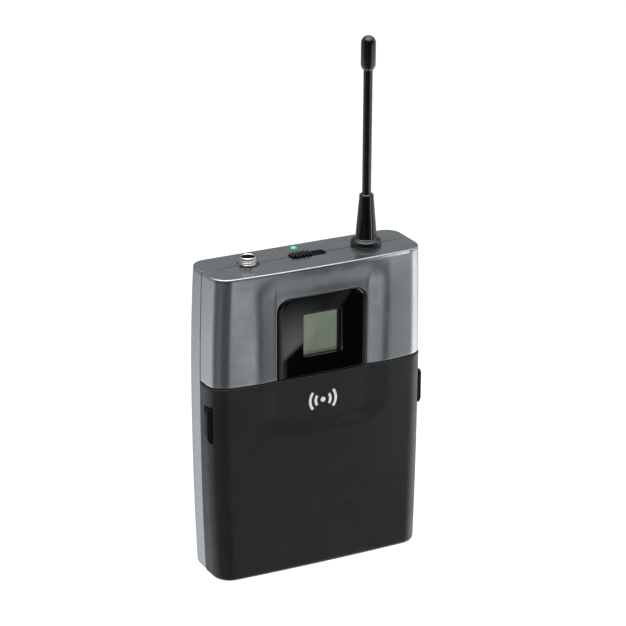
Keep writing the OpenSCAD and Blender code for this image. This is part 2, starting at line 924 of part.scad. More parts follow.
module bridge_contact() {
    color([0.8, 0.8, 0.82]) mirror([1, 0, 0]) {
        contact_plate(4, 30.5);
    }
}

module positive_contact() {
    color([0.8, 0.8, 0.82]) {
        contact_plate(4, 15.5);
    }
}

module negative_contact() {
    color([0.8, 0.8, 0.82]) {
        contact_plate(19, 30.5);
        contact_tab();
    }
}

module cell_spring() {
    translate([contact_x, 0, 0]) rotate([0, -90, 0])
        coil_spring(spring_base_r, spring_end_r, spring_wire_r, spring_length, spring_turns);
}

module battery_springs() {
    color([0.8, 0.8, 0.82]) {
        translate([0, cell_y, upper_cell_z]) cell_spring();
        translate([0, cell_y, lower_cell_z]) mirror([1, 0, 0]) cell_spring();
    }
}

// A cell along X: its nub at +X touches a flat contact, its flat end is at -X
module cell() {
    end_x = contact_x - cell_gap;
    shoulder_x = end_x - cell_nub_h;
    rod_x(0, 0, end_x - cell_length, shoulder_x, cell_r);
    rod_x(0, 0, shoulder_x - hair, end_x, cell_nub_r);
}

module lower_battery() {
    color([0.75, 0.45, 0.15]) translate([0, cell_y, lower_cell_z]) cell();
}

module upper_battery() {
    color([0.75, 0.45, 0.15]) translate([0, cell_y, upper_cell_z]) mirror([1, 0, 0]) cell();
}

// ---------- top fittings ----------

module jack_bush() {
    color([0.8, 0.8, 0.82])
    difference() {
        union() {
            post(-jack_x, part_y, barrel_low_z, collar_low_z + hair, barrel_r);
            post(-jack_x, part_y, collar_low_z, case_h + collar_rise, collar_r);
            post(-jack_x, part_y, shoulder_low_z, top_under_z - play, shoulder_r);
        }
        post(-jack_x, part_y, barrel_low_z - past, case_h + collar_rise + past, jack_bore_r);
    }
}

module jack_body() {
    color([0.1, 0.1, 0.11])
    difference() {
        block([-jack_x - jack_half_w, jack_front_y, jack_low_z],
              [-jack_x + jack_half_w, board_front_y, jack_high_z]);
        post(-jack_x, part_y, jack_low_z + 1, case_h, collar_r + play / 2);
        for (dx = jack_leaves_at) {
            x = -jack_x + dx;
            half_w = jack_leaf_w / 2 + play / 2;
            block([x - half_w, part_y, jack_slot_low_z],
                  [x + half_w, board_front_y + past, jack_slot_high_z]);
        }
    }
}

module jack_contacts() {
    leaf_y = part_y + 1.85;
    leaf_t = 0.2;
    low_z = jack_slot_low_z + play;
    color([0.85, 0.72, 0.4])
    for (dx = jack_leaves_at) {
        left_x = -jack_x + dx - jack_leaf_w / 2;
        right_x = left_x + jack_leaf_w;
        block([left_x, leaf_y, low_z], [right_x, leaf_y + leaf_t, 80]);
        block([left_x, leaf_y + leaf_t / 4, low_z], [right_x, board_front_y, jack_slot_high_z - play]);
    }
}

module antenna_boot() {
    bore_r = whip_r + 0.02;
    foot_low_z = top_under_z - 1.4;
    seat_z = case_h + 0.05;
    color([0.06, 0.06, 0.06])
    translate([antenna_x, part_y, 0]) rotate_extrude() polygon([
        [bore_r, foot_low_z],
        [boot_foot_r, foot_low_z],
        [boot_foot_r, top_under_z - play],
        [boot_neck_r, top_under_z - play],
        [boot_neck_r, seat_z],
        [boot_flange_r, seat_z],
        [boot_flange_r, case_h + 1],
        [boot_flange_r - 0.5, case_h + 1.7],
        [2.95, case_h + 1.9],
        [2.05, case_h + boot_h - 1],
        [1.7, case_h + boot_h],
        [bore_r, case_h + boot_h]
    ]);
}

module antenna_whip() {
    color([0.07, 0.07, 0.07])
    post(antenna_x, part_y, whip_low_z, case_h + antenna_h - 0.8, whip_r);
}

module antenna_tip() {
    low_z = case_h + antenna_h - tip_length;
    wall_above_whip = 0.75;
    color([0.07, 0.07, 0.07])
    translate([antenna_x, part_y, low_z]) difference() {
        union() {
            translate([0, 0, tip_r]) cylinder(h = tip_length - 2 * tip_r, r = tip_r);
            for (z = [tip_r, tip_length - tip_r])
                translate([0, 0, z]) sphere(tip_r);
        }
        translate([0, 0, -past]) cylinder(h = tip_length + past - wall_above_whip, r = whip_r + hair);
    }
}

module antenna_socket() {
    color([0.8, 0.68, 0.35])
    difference() {
        union() {
            post(antenna_x, part_y, socket_low_z, socket_top_z, 2.6);
            block([antenna_x - 2, part_y, socket_low_z], [antenna_x + 2, board_front_y, 83]);
        }
        post(antenna_x, part_y, whip_low_z, case_h, whip_r + hair);
    }
}

module mute_knob() {
    rib_pitch = knob_w / knob_ribs;
    groove_half_w = 0.25;
    knob_low_z = knob_plate_high_z - 0.05;
    plate_half_d = 2.7;
    fork_t = 0.7;
    fork_gap = 0.1;
    color([0.08, 0.08, 0.08]) {
        difference() {
            translate([knob_left_x + knob_w / 2, part_y, knob_low_z])
                linear_extrude(case_h + knob_rise - knob_low_z)
                    rounded_rect(knob_w, -knob_d / 2, knob_d / 2, knob_r);
            for (i = [1 : knob_ribs - 1])
                translate([knob_left_x + i * rib_pitch, 0, 0])
                    block([-groove_half_w, -big, case_h - 0.3], [groove_half_w, big, case_h + past]);
        }
        block([-10.4, part_y - plate_half_d, knob_plate_low_z],
              [7, part_y + plate_half_d, knob_plate_high_z]);
        for (x = [mute_lever_left_x - fork_gap / 2 - fork_t, mute_lever_left_x + mute_lever_w + fork_gap / 2])
            block([x, part_y - 1, 85.6], [x + fork_t, part_y + 1, knob_plate_low_z + 0.05]);
    }
}

module mute_switch_body() {
    slot_gap = 0.45;
    color([0.78, 0.78, 0.8])
    difference() {
        block([-mute_switch_half_w, -1.4, mute_switch_low_z],
              [mute_switch_half_w, board_front_y, mute_switch_top_z]);
        block([mute_lever_left_x - slot_gap, part_y - 0.5, mute_lever_low_z - 0.2],
              [mute_lever_left_x + mute_lever_w + mute_travel + slot_gap, part_y + 0.5,
               mute_switch_top_z + past]);
    }
}

module mute_switch_lever() {
    color([0.9, 0.9, 0.88])
    block([mute_lever_left_x, part_y - mute_lever_w / 2, mute_lever_low_z],
          [mute_lever_left_x + mute_lever_w, part_y + mute_lever_w / 2, mute_lever_high_z]);
}

module status_led() {
    color([0.3, 0.9, 0.4])
    block([led_x - 1.5, board_back_y, led_low_z], [led_x + 1.5, board_back_y + 2.8, led_high_z]);
}

module led_light_pipe() {
    color([0.5, 1, 0.6])
    post(led_x, led_y, led_high_z + play, case_h + 0.25, pipe_r);
}

// ---------- belt clip ----------

module belt_clip() {
    corners = [
        [clip_plug_out_x - 0.05, clip_y, clip_z],
        [clip_leg_x, clip_y, clip_z],
        [clip_leg_x, clip_y, clip_bend_z],
        [clip_leg_x, clip_near_y, clip_near_z],
        [clip_leg_x, clip_end_y, clip_end_z],
        [0, clip_end_y, clip_end_z]
    ];
    corner_radii = [2.2, 6, 4, 2.2];
    right = concat(
        [corners[0]],
        [for (i = [1 : len(corner_radii)])
            each rounded_corner(corners[i - 1], corners[i], corners[i + 1], corner_radii[i - 1])]
    );
    left = [for (i = [len(right) - 1 : -1 : 0]) [-right[i][0], right[i][1], right[i][2]]];
    color([0.75, 0.76, 0.78]) {
        swept_wire(concat(right, left), clip_wire_r - 0.02);
        both_sides() rod_x(clip_y, clip_z, clip_plug_in_x, clip_plug_out_x, clip_wire_r);
    }
}

// ---------- the assembly ----------

rear_case();
front_case();
battery_cover();
battery_pad();
cover_emblem();
cover_hinge_pins();
catch_left();
catch_right();
catch_spring_left();
catch_spring_right();
window_panel();
display_lens();
lcd_panel();
light_guide();
lcd_holder();
elastomer_strip();
panel_board();
tact_switches();
display_chip();
keypad_fascia();
power_button();
set_button();
up_button();
down_button();
main_board();
rf_shield_can();
radio_chips();
filter_capacitors();
power_inductor();
board_header();
board_screws();
case_screws();
battery_tray();
bridge_contact();
positive_contact();
negative_contact();
battery_springs();
lower_battery();
upper_battery();
jack_bush();
jack_body();
jack_contacts();
antenna_boot();
antenna_whip();
antenna_tip();
antenna_socket();
mute_knob();
mute_switch_body();
mute_switch_lever();
status_led();
led_light_pipe();
belt_clip();
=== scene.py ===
import math

import bmesh
import bpy
from mathutils import Matrix, Vector


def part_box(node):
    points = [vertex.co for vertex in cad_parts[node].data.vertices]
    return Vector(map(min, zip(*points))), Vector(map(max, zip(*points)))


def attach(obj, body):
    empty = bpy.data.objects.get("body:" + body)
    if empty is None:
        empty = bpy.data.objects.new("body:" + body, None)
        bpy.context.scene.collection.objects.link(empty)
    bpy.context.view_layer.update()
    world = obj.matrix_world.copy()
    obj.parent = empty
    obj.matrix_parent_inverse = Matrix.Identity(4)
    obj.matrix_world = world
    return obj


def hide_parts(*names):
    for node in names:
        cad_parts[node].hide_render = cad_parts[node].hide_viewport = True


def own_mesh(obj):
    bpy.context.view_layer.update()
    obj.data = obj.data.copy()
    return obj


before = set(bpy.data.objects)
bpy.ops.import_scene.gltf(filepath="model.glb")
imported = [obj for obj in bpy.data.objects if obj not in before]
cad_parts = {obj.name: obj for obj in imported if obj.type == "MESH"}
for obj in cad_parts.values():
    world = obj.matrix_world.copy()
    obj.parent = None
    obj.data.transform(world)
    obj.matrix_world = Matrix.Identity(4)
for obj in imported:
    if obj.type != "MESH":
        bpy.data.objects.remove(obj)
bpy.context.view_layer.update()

# Wireless bodypack transmitter: its visible shells, fittings, materials, light and camera.
# Shapes are worked out in millimetres, in the frame of the CAD model, and made in metres.

MM = 0.001


# ---- sizes from the frame

def node_box(node):
    """Lowest and highest corner of a CAD node, in millimetres."""
    low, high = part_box(node)
    return low / MM, high / MM


FRONT_LOW, FRONT_HIGH = node_box("front_case")
COVER_HIGH = node_box("battery_cover")[1]
CASE_HALF_W = FRONT_HIGH.x
CASE_H = FRONT_HIGH.z
PART_Y = FRONT_HIGH.y
COVER_PROUD = COVER_HIGH.x - CASE_HALF_W
BACK_Y = 10.0

# The case is widest and deepest just below the cover's upper edge.
WIDEST_Z = 57.0
SIDE_CROWN_UP = 0.78
SIDE_CROWN_DOWN = 1.28
FACE_DEPTH = PART_Y - FRONT_LOW.y
FACE_CROWN_UP = 0.45
FACE_CROWN_DOWN = 0.4
SAG = 1.8
SAG_LOSS_UP = 0.9
SAG_LOSS_DOWN = 1.3
CHORD = 28.0
FRONT_CORNER = 5.3
REAR_CORNER = 4.6
BACK_DEPTH = BACK_Y - PART_Y
BACK_CROWN = 0.35
BACK_SAG = 0.05

TOP_FILLET = 0.45
BASE_FILLET = 1.2
SEAM_HALF = 0.14
RIM_R = 0.18
COVER_RIM = PART_Y - COVER_HIGH.y + 0.04
CASE_WALL = 1.5
TOP_WALL = 1.8
COVER_WALL = 1.6
PAST = 1.0  # how far a cutter runs on past the surface that it opens

# The dish round the display: wide soft sides, a narrower lower edge, and no upper edge.
DISH_HALF_W = 14.3
DISH_LOW = 44.6
DISH_R = 4.0
DISH_DEPTH = 0.85
DISH_SIDE_BLEND = 7.2
DISH_LOW_BLEND = 3.4
DISH_STRAIGHT = 0.55
DISH_FADE_LOW = 82.2
DISH_FADE_HIGH = 89.8

WINDOW_LOW = FRONT_LOW.z + 0.05
WINDOW_TOP = 81.6
WINDOW_HALF_W = 13.9
WINDOW_R = 3.8
WINDOW_LIP = 0.3
VIEW_HALF_W = 6.1
VIEW_LOW = 63.9
VIEW_HIGH = 77.1
VIEW_R = 0.8
# Bounds of the LCD's unshaded area: outside them its colour is painted shade, for the shade under the
# window's edges.
LCD_UNSHADED_HALF_W = 5.2
LCD_UNSHADED_LOW = 63.1
LCD_UNSHADED_HIGH = 75.6

HINGE_Y = -2.6
HINGE_Z = 2.4

JACK_LOW, JACK_HIGH = node_box("jack_bush")
JACK_X = (JACK_LOW.x + JACK_HIGH.x) / 2
BOOT_LOW, BOOT_HIGH = node_box("antenna_boot")
ANTENNA_X = (BOOT_LOW.x + BOOT_HIGH.x) / 2
PIPE_LOW, PIPE_HIGH = node_box("led_light_pipe")
PIPE_X = (PIPE_LOW.x + PIPE_HIGH.x) / 2
PIPE_Y = (PIPE_LOW.y + PIPE_HIGH.y) / 2
SCREW_PLACES = [(-28.2, 84.5), (28.2, 84.5), (-23.0, 36.4), (23.0, 36.4)]


# ---- solids as (points, faces)

def lofted(rings, loop=False):
    """A skin through rings of points. It is capped at both ends, or joined end to end as a loop."""
    count = len(rings[0])
    points = [p for ring in rings for p in ring]
    faces = []
    for i in range(len(rings) if loop else len(rings) - 1):
        a, b = i * count, (i + 1) % len(rings) * count
        faces += [[a + j, a + (j + 1) % count, b + (j + 1) % count, b + j] for j in range(count)]
    if not loop:
        faces.append(list(range(count)))
        faces.append(list(range(len(points) - count, len(points))))
    return points, faces


def joined(*parts):
    """Several solids as one list of points and faces."""
    points, faces = [], []
    for part_points, part_faces in parts:
        start = len(points)
        points += [tuple(p) for p in part_points]
        faces += [[start + i for i in face] for face in part_faces]
    return points, faces


def mirrored(part):
    """The part on the other side of the middle plane."""
    points, faces = part
    return [(-x, y, z) for x, y, z in points], faces


def spaced(start, end, steps):
    """Even steps from start to end, both included."""
    return [start + (end - start) * i / steps for i in range(steps + 1)]


def arc(cx, cy, r, start, end, steps):
    """Points round a circle, angles in degrees."""
    angles = [math.radians(a) for a in spaced(start, end, steps)]
    return [(cx + r * math.cos(a), cy + r * math.sin(a)) for a in angles]


def circle(cx, cy, r, sides=48):
    """Points round a whole circle, with none twice."""
    return arc(cx, cy, r, 0, 360, sides)[:-1]


def rounded_rect(x0, y0, x1, y1, r, steps=6):
    """A rectangle's outline with round corners."""
    corners = [(x1 - r, y0 + r, -90), (x1 - r, y1 - r, 0), (x0 + r, y1 - r, 90), (x0 + r, y0 + r, 180)]
    return [p for cx, cy, a in corners for p in arc(cx, cy, r, a, a + 90, steps)]


def to_axis(axis, u, v, w):
    """A point from its two coordinates across an axis and the one along it."""
    return {"X": (w, u, v), "Y": (u, w, v), "Z": (u, v, w)}[axis]


def prism(outline, axis, start, end):
    """An outline pushed along an axis."""
    return lofted([[to_axis(axis, u, v, w) for u, v in outline] for w in (start, end)])


def lathe(profile, axis, cu, cv, sides=64):
    """A profile of (radius, place along the axis) turned round the axis, as one closed loop."""
    rings = []
    for r, w in profile:
        rings.append([to_axis(axis, u, v, w) for u, v in circle(cu, cv, max(r, 1e-4), sides)])
    return lofted(rings, loop=True)


def edge_levels(low, high, low_r, high_r, pitch, steps=4, support=0.12):
    """(place, inset) pairs from a rounded lower edge, in even steps, to a rounded upper edge."""
    turn = spaced(0, math.pi / 2, steps)
    lower = [(low + low_r * (1 - math.cos(a)), low_r * (1 - math.sin(a))) for a in turn]
    upper = [(high - high_r * (1 - math.cos(a)), high_r * (1 - math.sin(a))) for a in reversed(turn)]
    between = max(1, round((high - high_r - low - low_r) / pitch))
    middle = [(w, 0.0) for w in spaced(low + low_r, high - high_r, between)][1:-1]
    return [(low, low_r + support)] + lower + middle + upper + [(high, high_r + support)]


def soft_block(low, high, edge, corner=None, axis="Z", steps=3):
    """A block with rounded edges; corner is the radius of its outline across the axis."""
    order = {"X": (1, 2, 0), "Y": (0, 2, 1), "Z": (0, 1, 2)}[axis]
    (u0, u1), (v0, v1), (w0, w1) = [(low[i], high[i]) for i in order]
    corner = corner or edge * 1.2
    support = min(0.12, (min(u1 - u0, v1 - v0) / 2 - edge) / 2)
    rings = []
    for w, inset in edge_levels(w0, w1, edge, edge, w1 - w0, steps, support):
        r = max(corner - inset, 0.01)
        outline = rounded_rect(u0 + inset, v0 + inset, u1 - inset, v1 - inset, r)
        rings.append([to_axis(axis, u, v, w) for u, v in outline])
    return lofted(rings)


def swept(path, radius, sides):
    """A round bar along a path of points, with a section that doesn't twist."""
    path = [Vector(p) for p in path]
    last = len(path) - 1
    side = None
    rings = []
    for i, p in enumerate(path):
        ahead = (path[min(i + 1, last)] - path[max(i - 1, 0)]).normalized()
        if side is None:
            side = ahead.orthogonal()
        side = (side - ahead * side.dot(ahead)).normalized()
        other = ahead.cross(side)
        rings.append([p + (side * u + other * v) for u, v in circle(0, 0, radius, sides)])
    return lofted(rings)


def add_object(name, data):
    """Puts a mesh, a lamp or a camera in the scene."""
    item = bpy.data.objects.new(name, data)
    bpy.context.scene.collection.objects.link(item)
    return item


def scratch_object(part):
    """A passing object for the boolean cuts."""
    mesh = bpy.data.meshes.new("scratch")
    mesh.from_pydata([Vector(p) for p in part[0]], [], part[1])
    tidy_mesh(mesh, 1e-4)
    return add_object("scratch", mesh)


def tidy_mesh(mesh, merge):
    """Merges points that coincide and turns every face outwards."""
    work = bmesh.new()
    work.from_mesh(mesh)
    bmesh.ops.remove_doubles(work, verts=work.verts, dist=merge)
    bmesh.ops.dissolve_degenerate(work, edges=work.edges, dist=merge)
    bmesh.ops.recalc_face_normals(work, faces=work.faces)
    work.to_mesh(mesh)
    work.free()


def carved(part, *cutters):
    """The part with each cutter taken out of it."""
    target = scratch_object(part)
    tools = [scratch_object(cutter) for cutter in cutters]
    for tool in tools:
        cut = target.modifiers.new("cut", "BOOLEAN")
        cut.operation = "DIFFERENCE"
        cut.solver = "EXACT"
        cut.object = tool
    shape = target.evaluated_get(bpy.context.evaluated_depsgraph_get()).to_mesh()
    points = [tuple(v.co) for v in shape.vertices]
    faces = [list(f.vertices) for f in shape.polygons]
    for scratch in [target, *tools]:
        bpy.data.meshes.remove(scratch.data)
    return points, faces


# ---- materials

MATERIALS = {}


def new_surface(name, colour, roughness, metallic=0.0, **fixed):
    """A Principled material, kept in MATERIALS; fixed gives other sockets' plain values."""
    material = bpy.data.materials.new(name)
    material.use_nodes = True
    shader = material.node_tree.nodes["Principled BSDF"]
    shader.inputs["Base Color"].default_value = (*colour, 1)
    shader.inputs["Roughness"].default_value = roughness
    shader.inputs["Metallic"].default_value = metallic
    for socket, value in fixed.items():
        shader.inputs[socket.replace("_", " ")].default_value = value
    material.diffuse_color = (*colour, 1)
    MATERIALS[name] = material
    return material


def set_input(owner, socket, value):
    """Gives an input a plain value, or links another node's output to it."""
    if isinstance(value, bpy.types.NodeSocket):
        owner.node_tree.links.new(value, socket)
    else:
        socket.default_value = value


def add_node(owner, kind, **values):
    """A node of a material or world, with its properties and inputs set."""
    node = owner.node_tree.nodes.new(kind)
    for key, value in values.items():
        if hasattr(node, key):
            setattr(node, key, value)
        else:
            set_input(owner, node.inputs[key.replace("_", " ")], value)
    return node


def place(material, stretch=(1, 1, 1)):
    """The point on the piece, in metres, stretched along the axes."""
    where = add_node(material, "ShaderNodeTexCoord").outputs["Object"]
    return add_node(material, "ShaderNodeMapping", Vector=where, Scale=stretch).outputs["Vector"]


def grain(material, size, detail=2.0, stretch=(1, 1, 1)):
    """Soft random grain whose features are about size millimetres across."""
    where = place(material, stretch)
    noise = add_node(material, "ShaderNodeTexNoise", Vector=where, Scale=1 / (size * MM), Detail=detail)
    return noise.outputs["Fac"]


def cells(material, size):
    """Distance to the nearest of scattered points, about size millimetres apart."""
    spots = add_node(material, "ShaderNodeTexVoronoi", Vector=place(material), Scale=1 / (size * MM))
    return spots.outputs["Distance"]


def ramp(owner, source, low, high, start=0.3, end=0.7, **extra):
    """Maps source from start..end to low..high."""
    remap = add_node(owner, "ShaderNodeMapRange", Value=source, From_Min=start, From_Max=end,
                     To_Min=low, To_Max=high, **extra)
    return remap.outputs["Result"]


def blend(material, factor, colour_a, colour_b):
    """One colour where factor is 0 and another where it is 1. A colour may be a socket."""
    mix = add_node(material, "ShaderNodeMix", data_type="RGBA", Factor=factor)
    for name, colour in (("A", colour_a), ("B", colour_b)):
        socket = [s for s in mix.inputs if s.name == name and s.type == "RGBA"][0]
        set_input(material, socket, (*colour, 1) if isinstance(colour, tuple) else colour)
    return [s for s in mix.outputs if s.type == "RGBA"][0]


def axis_of(material, axis):
    """The point's place along one axis, in metres."""
    return add_node(material, "ShaderNodeSeparateXYZ", Vector=place(material)).outputs[axis]


def calculate(owner, operation, *terms):
    """A sum of one or two terms, each a number or a socket."""
    node = add_node(owner, "ShaderNodeMath", operation=operation)
    for socket, term in zip(node.inputs, terms):
        set_input(owner, socket, term)
    return node.outputs["Value"]


def within(material, axis, low, high, blur):
    """1 between two places along an axis and 0 outside them, in millimetres."""
    middle, half = (low + high) / 2, (high - low) / 2
    away = calculate(material, "SUBTRACT", axis_of(material, axis), middle * MM)
    away = calculate(material, "ABSOLUTE", away)
    return ramp(material, away, 1, 0, (half - blur) * MM, (half + blur) * MM)


def drive(material, socket, source):
    """Links a source to one of the shader's inputs."""
    set_input(material, material.node_tree.nodes["Principled BSDF"].inputs[socket], source)


def bump(material, height, depth):
    """Surface relief, depth in millimetres."""
    relief = add_node(material, "ShaderNodeBump", Height=height, Strength=1.0, Distance=depth * MM)
    drive(material, "Normal", relief.outputs["Normal"])


def mottle(material, source, colour_a, colour_b, socket="Base Color"):
    """Gives a socket two shades, by a source of grain."""
    drive(material, socket, blend(material, ramp(material, source, 0, 1), colour_a, colour_b))


def lighter(colour, share):
    """The colour, brighter where share is above 1 and darker where it is below."""
    return tuple(min(1.0, c * share) for c in colour)


def moulded(name, colour, roughness, texture=0.25, depth=0.012, **fixed):
    """Moulded plastic with a fine eroded texture and slight unevenness in sheen."""
    material = new_surface(name, colour, roughness, **fixed)
    mottle(material, grain(material, 9.0), lighter(colour, 0.9), lighter(colour, 1.12))
    drive(material, "Roughness", ramp(material, grain(material, 2.4, 4), roughness - 0.05, roughness + 0.06))
    bump(material, grain(material, texture, 3), depth)
    return material


def metal(name, colour, roughness, stretch=(1, 1, 1), size=0.5, **fixed):
    """Bare or plated metal with fine streaks and a few duller patches."""
    material = new_surface(name, colour, roughness, metallic=1.0, **fixed)
    streaks = grain(material, size, 3, stretch)
    drive(material, "Roughness", ramp(material, streaks, roughness - 0.06, roughness + 0.1))
    mottle(material, grain(material, 3.0, 3), lighter(colour, 0.88), lighter(colour, 1.05))
    bump(material, streaks, 0.004)
    return material


def silver_paint():
    """Fine metallic lacquer: flakes in slightly different shades, under a thin clear coat."""
    colour = (0.415, 0.45, 0.468)
    material = new_surface("silver_paint", colour, 0.24, metallic=0.95, Coat_Weight=0.1, Coat_Roughness=0.15)
    mottle(material, grain(material, 0.7, 3), lighter(colour, 1.06), lighter(colour, 0.94))
    drive(material, "Roughness", ramp(material, grain(material, 4.0, 2), 0.2, 0.26))
    bump(material, grain(material, 0.6, 2), 0.005)
    return material


def gloss_black():
    """Polished black window with a few hairline scuffs in its sheen."""
    material = new_surface("gloss_black", (0.0008, 0.0008, 0.0009), 0.015)
    scuffs = grain(material, 0.5, 5, (1, 1, 6))
    drive(material, "Roughness", ramp(material, scuffs, 0.012, 0.035, 0.5, 0.75))
    mottle(material, grain(material, 5.0), (0.0006, 0.0006, 0.0007), (0.0012, 0.0012, 0.0013))
    return material


def clear_lens():
    """Thin clear acrylic: see-through, with a mirror's share of light that grows towards its edges."""
    material = new_surface("clear_lens", (0.95, 0.97, 0.96), 0.02, metallic=1.0)
    drive(material, "Roughness", ramp(material, grain(material, 4.0, 2), 0.012, 0.03))
    nodes = material.node_tree.nodes
    clear = add_node(material, "ShaderNodeBsdfTransparent")
    share = add_node(material, "ShaderNodeFresnel", IOR=1.49)
    mix = add_node(material, "ShaderNodeMixShader", Fac=share.outputs["Fac"])
    set_input(material, mix.inputs[1], clear.outputs["BSDF"])
    set_input(material, mix.inputs[2], nodes["Principled BSDF"].outputs["BSDF"])
    set_input(material, nodes["Material Output"].inputs["Surface"], mix.outputs["Shader"])
    return material


def lcd_glass():
    """Reflective liquid crystal glass with its faint grid of cells and a faint painted glow, inside a border
    of painted shade.
    """
    colour, painted_shade_border = (0.34, 0.40, 0.31), (0.012, 0.016, 0.012)
    cell_w, blur = 0.32, 0.12
    bands_per_unit = 20  # a wave texture of scale 1 has this many bands in a metre
    # Emission gives the glass a faint painted glow in its own colours, standing in for light falling on it.
    material = new_surface("lcd_glass", colour, 0.3, Emission_Strength=0.2)
    wave = add_node(material, "ShaderNodeTexWave", wave_type="BANDS", bands_direction="X",
                    Vector=place(material), Scale=1 / (cell_w * MM) / bands_per_unit, Distortion=0.0)
    shade = blend(material, ramp(material, wave.outputs["Fac"], 0, 0.25, 0, 1),
                  lighter(colour, 1.03), lighter(colour, 0.93))
    # Painted shade: outside these bounds the glass is painted near black, for the shade cast by the window's
    # edges.
    across = within(material, "X", -LCD_UNSHADED_HALF_W, LCD_UNSHADED_HALF_W, blur)
    upright = within(material, "Z", LCD_UNSHADED_LOW, LCD_UNSHADED_HIGH, blur)
    unshaded_area = calculate(material, "MULTIPLY", across, upright)
    shade = blend(material, unshaded_area, painted_shade_border, shade)
    drive(material, "Base Color", shade)
    # The painted glow takes the same colours as the glass.
    drive(material, "Emission Color", shade)
    return material


def circuit_board():
    """Green solder mask over a maze of tracks, with bright pads."""
    mask, track, pad = (0.01, 0.11, 0.05), (0.03, 0.2, 0.09), (0.75, 0.68, 0.5)
    material = new_surface("circuit_board", mask, 0.32)
    upright = add_node(material, "ShaderNodeMapping", Vector=place(material), Rotation=(math.pi / 2, 0, 0))
    brick = add_node(material, "ShaderNodeTexBrick", Vector=upright.outputs["Vector"], Scale=1.0,
                     Brick_Width=4.2 * MM, Row_Height=1.1 * MM, Mortar_Size=0.16 * MM)
    tracks = blend(material, brick.outputs["Fac"], mask, track)
    spots = ramp(material, cells(material, 2.3), 1, 0, 0.14, 0.16)
    drive(material, "Base Color", blend(material, spots, tracks, pad))
    bump(material, brick.outputs["Fac"], 0.03)
    return material


def foam():
    """Closed-cell foam: packed small bubbles."""
    material = new_surface("foam", (0.035, 0.035, 0.038), 0.95)
    bubbles = cells(material, 0.45)
    drive(material, "Base Color", blend(
        material, ramp(material, bubbles, 0, 1, 0, 0.7), (0.02, 0.02, 0.022), (0.065, 0.065, 0.07)))
    bump(material, bubbles, 0.15)
    return material


def battery_wrap():
    """Printed film sleeve: green, with a pale band at one end and a few scuffs."""
    green, band, scuff = (0.05, 0.16, 0.11), (0.62, 0.64, 0.63), (0.2, 0.3, 0.26)
    band_from = 13.8
    material = new_surface("battery_wrap", green, 0.28)
    in_band = ramp(material, axis_of(material, "X"), 0, 1, band_from * MM, (band_from + 0.1) * MM)
    scuffs = ramp(material, grain(material, 1.2, 5), 0, 1, 0.62, 0.7)
    drive(material, "Base Color", blend(material, scuffs, blend(material, in_band, green, band), scuff))
    drive(material, "Roughness", ramp(material, grain(material, 1.5, 4), 0.22, 0.36))
    return material


def led_green():
    """Clear green light pipe, brightest in the middle."""
    material = new_surface("led_green", (0.05, 0.4, 0.18), 0.15, Emission_Strength=2.4)
    where = add_node(material, "ShaderNodeVectorMath", operation="DISTANCE")
    set_input(material, where.inputs[0], place(material, (1, 1, 0)))
    set_input(material, where.inputs[1], (PIPE_X * MM, PIPE_Y * MM, 0))
    middle = ramp(material, where.outputs["Value"], 1, 0, 0.0, 0.5 * MM)
    drive(material, "Emission Color", blend(material, middle, (0.0, 0.12, 0.035), (0.4, 0.9, 0.5)))
    return material


silver_paint()
moulded("cover_black", (0.014, 0.0138, 0.0138), 0.36, Specular_IOR_Level=0.42)
moulded("catch_black", (0.004, 0.004, 0.0045), 0.36, Specular_IOR_Level=0.18)
gloss_black()
moulded("antenna_rubber", (0.002, 0.002, 0.0022), 0.13, 0.6, 0.002, Specular_IOR_Level=0.8)
moulded("knob_black", (0.006, 0.006, 0.0065), 0.33, Specular_IOR_Level=0.4)
moulded("inner_black", (0.02, 0.02, 0.021), 0.45, 0.4)
moulded("emblem_silver", (0.86, 0.87, 0.88), 0.4, 0.3, 0.004, Metallic=0.15)
foam()
metal("steel", (0.6, 0.6, 0.61), 0.26)
moulded("black_steel", (0.03, 0.03, 0.034), 0.33, 0.3, Metallic=0.6)
metal("spring_steel", (0.62, 0.63, 0.65), 0.24)
metal("nickel", (0.66, 0.64, 0.61), 0.16, (1, 1, 14), 0.4)
metal("plated_steel", (0.66, 0.67, 0.68), 0.3)
metal("gilt_brass", (0.8, 0.6, 0.28), 0.24)
clear_lens()
lcd_glass()
moulded("white_plastic", (0.75, 0.75, 0.73), 0.4)
moulded("elastomer", (0.7, 0.34, 0.36), 0.6)
circuit_board()
moulded("chip_black", (0.018, 0.018, 0.018), 0.5, 0.12)
moulded("button_red", (0.42, 0.025, 0.02), 0.36)
moulded("button_grey", (0.13, 0.135, 0.14), 0.4)
moulded("capacitor_gold", (0.55, 0.4, 0.13), 0.3)
battery_wrap()
led_green()


def make_piece(name, part, slot, node, body="housing", angle=35):
    """Makes a Blender piece of a solid, on its body, in its material, in place of a CAD node."""
    mesh = bpy.data.meshes.new(name)
    mesh.from_pydata([Vector(p) * MM for p in part[0]], [], part[1])
    tidy_mesh(mesh, 1e-7)
    mesh.shade_smooth()
    mesh.set_sharp_from_angle(angle=math.radians(angle))
    mesh.materials.append(MATERIALS[slot])
    piece = add_object(name, mesh)
    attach(piece, body)
    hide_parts(node)
    return piece


# ---- the crowned case

FACE_STEPS = 46
CORNER_STEPS = 10
SIDE_STEPS = 4
RIM_STEPS = 3


def crown(z, up, down):
    """Loss at a height: nothing at the widest level, up at the top edge, down at the bottom edge."""
    if z > WIDEST_Z:
        return up * ((z - WIDEST_Z) / (CASE_H - WIDEST_Z)) ** 2
    return down * ((WIDEST_Z - z) / WIDEST_Z) ** 2


def half_width(z):
    """Half the case's width at a height."""
    return CASE_HALF_W - crown(z, SIDE_CROWN_UP, SIDE_CROWN_DOWN)


def face_depth(z):
    """How far the middle of the face stands in front of the parting plane."""
    return FACE_DEPTH - crown(z, FACE_CROWN_UP, FACE_CROWN_DOWN)


def face_sag(z):
    """How much the bowed face falls away towards its sides."""
    return SAG - crown(z, SAG_LOSS_UP, SAG_LOSS_DOWN)


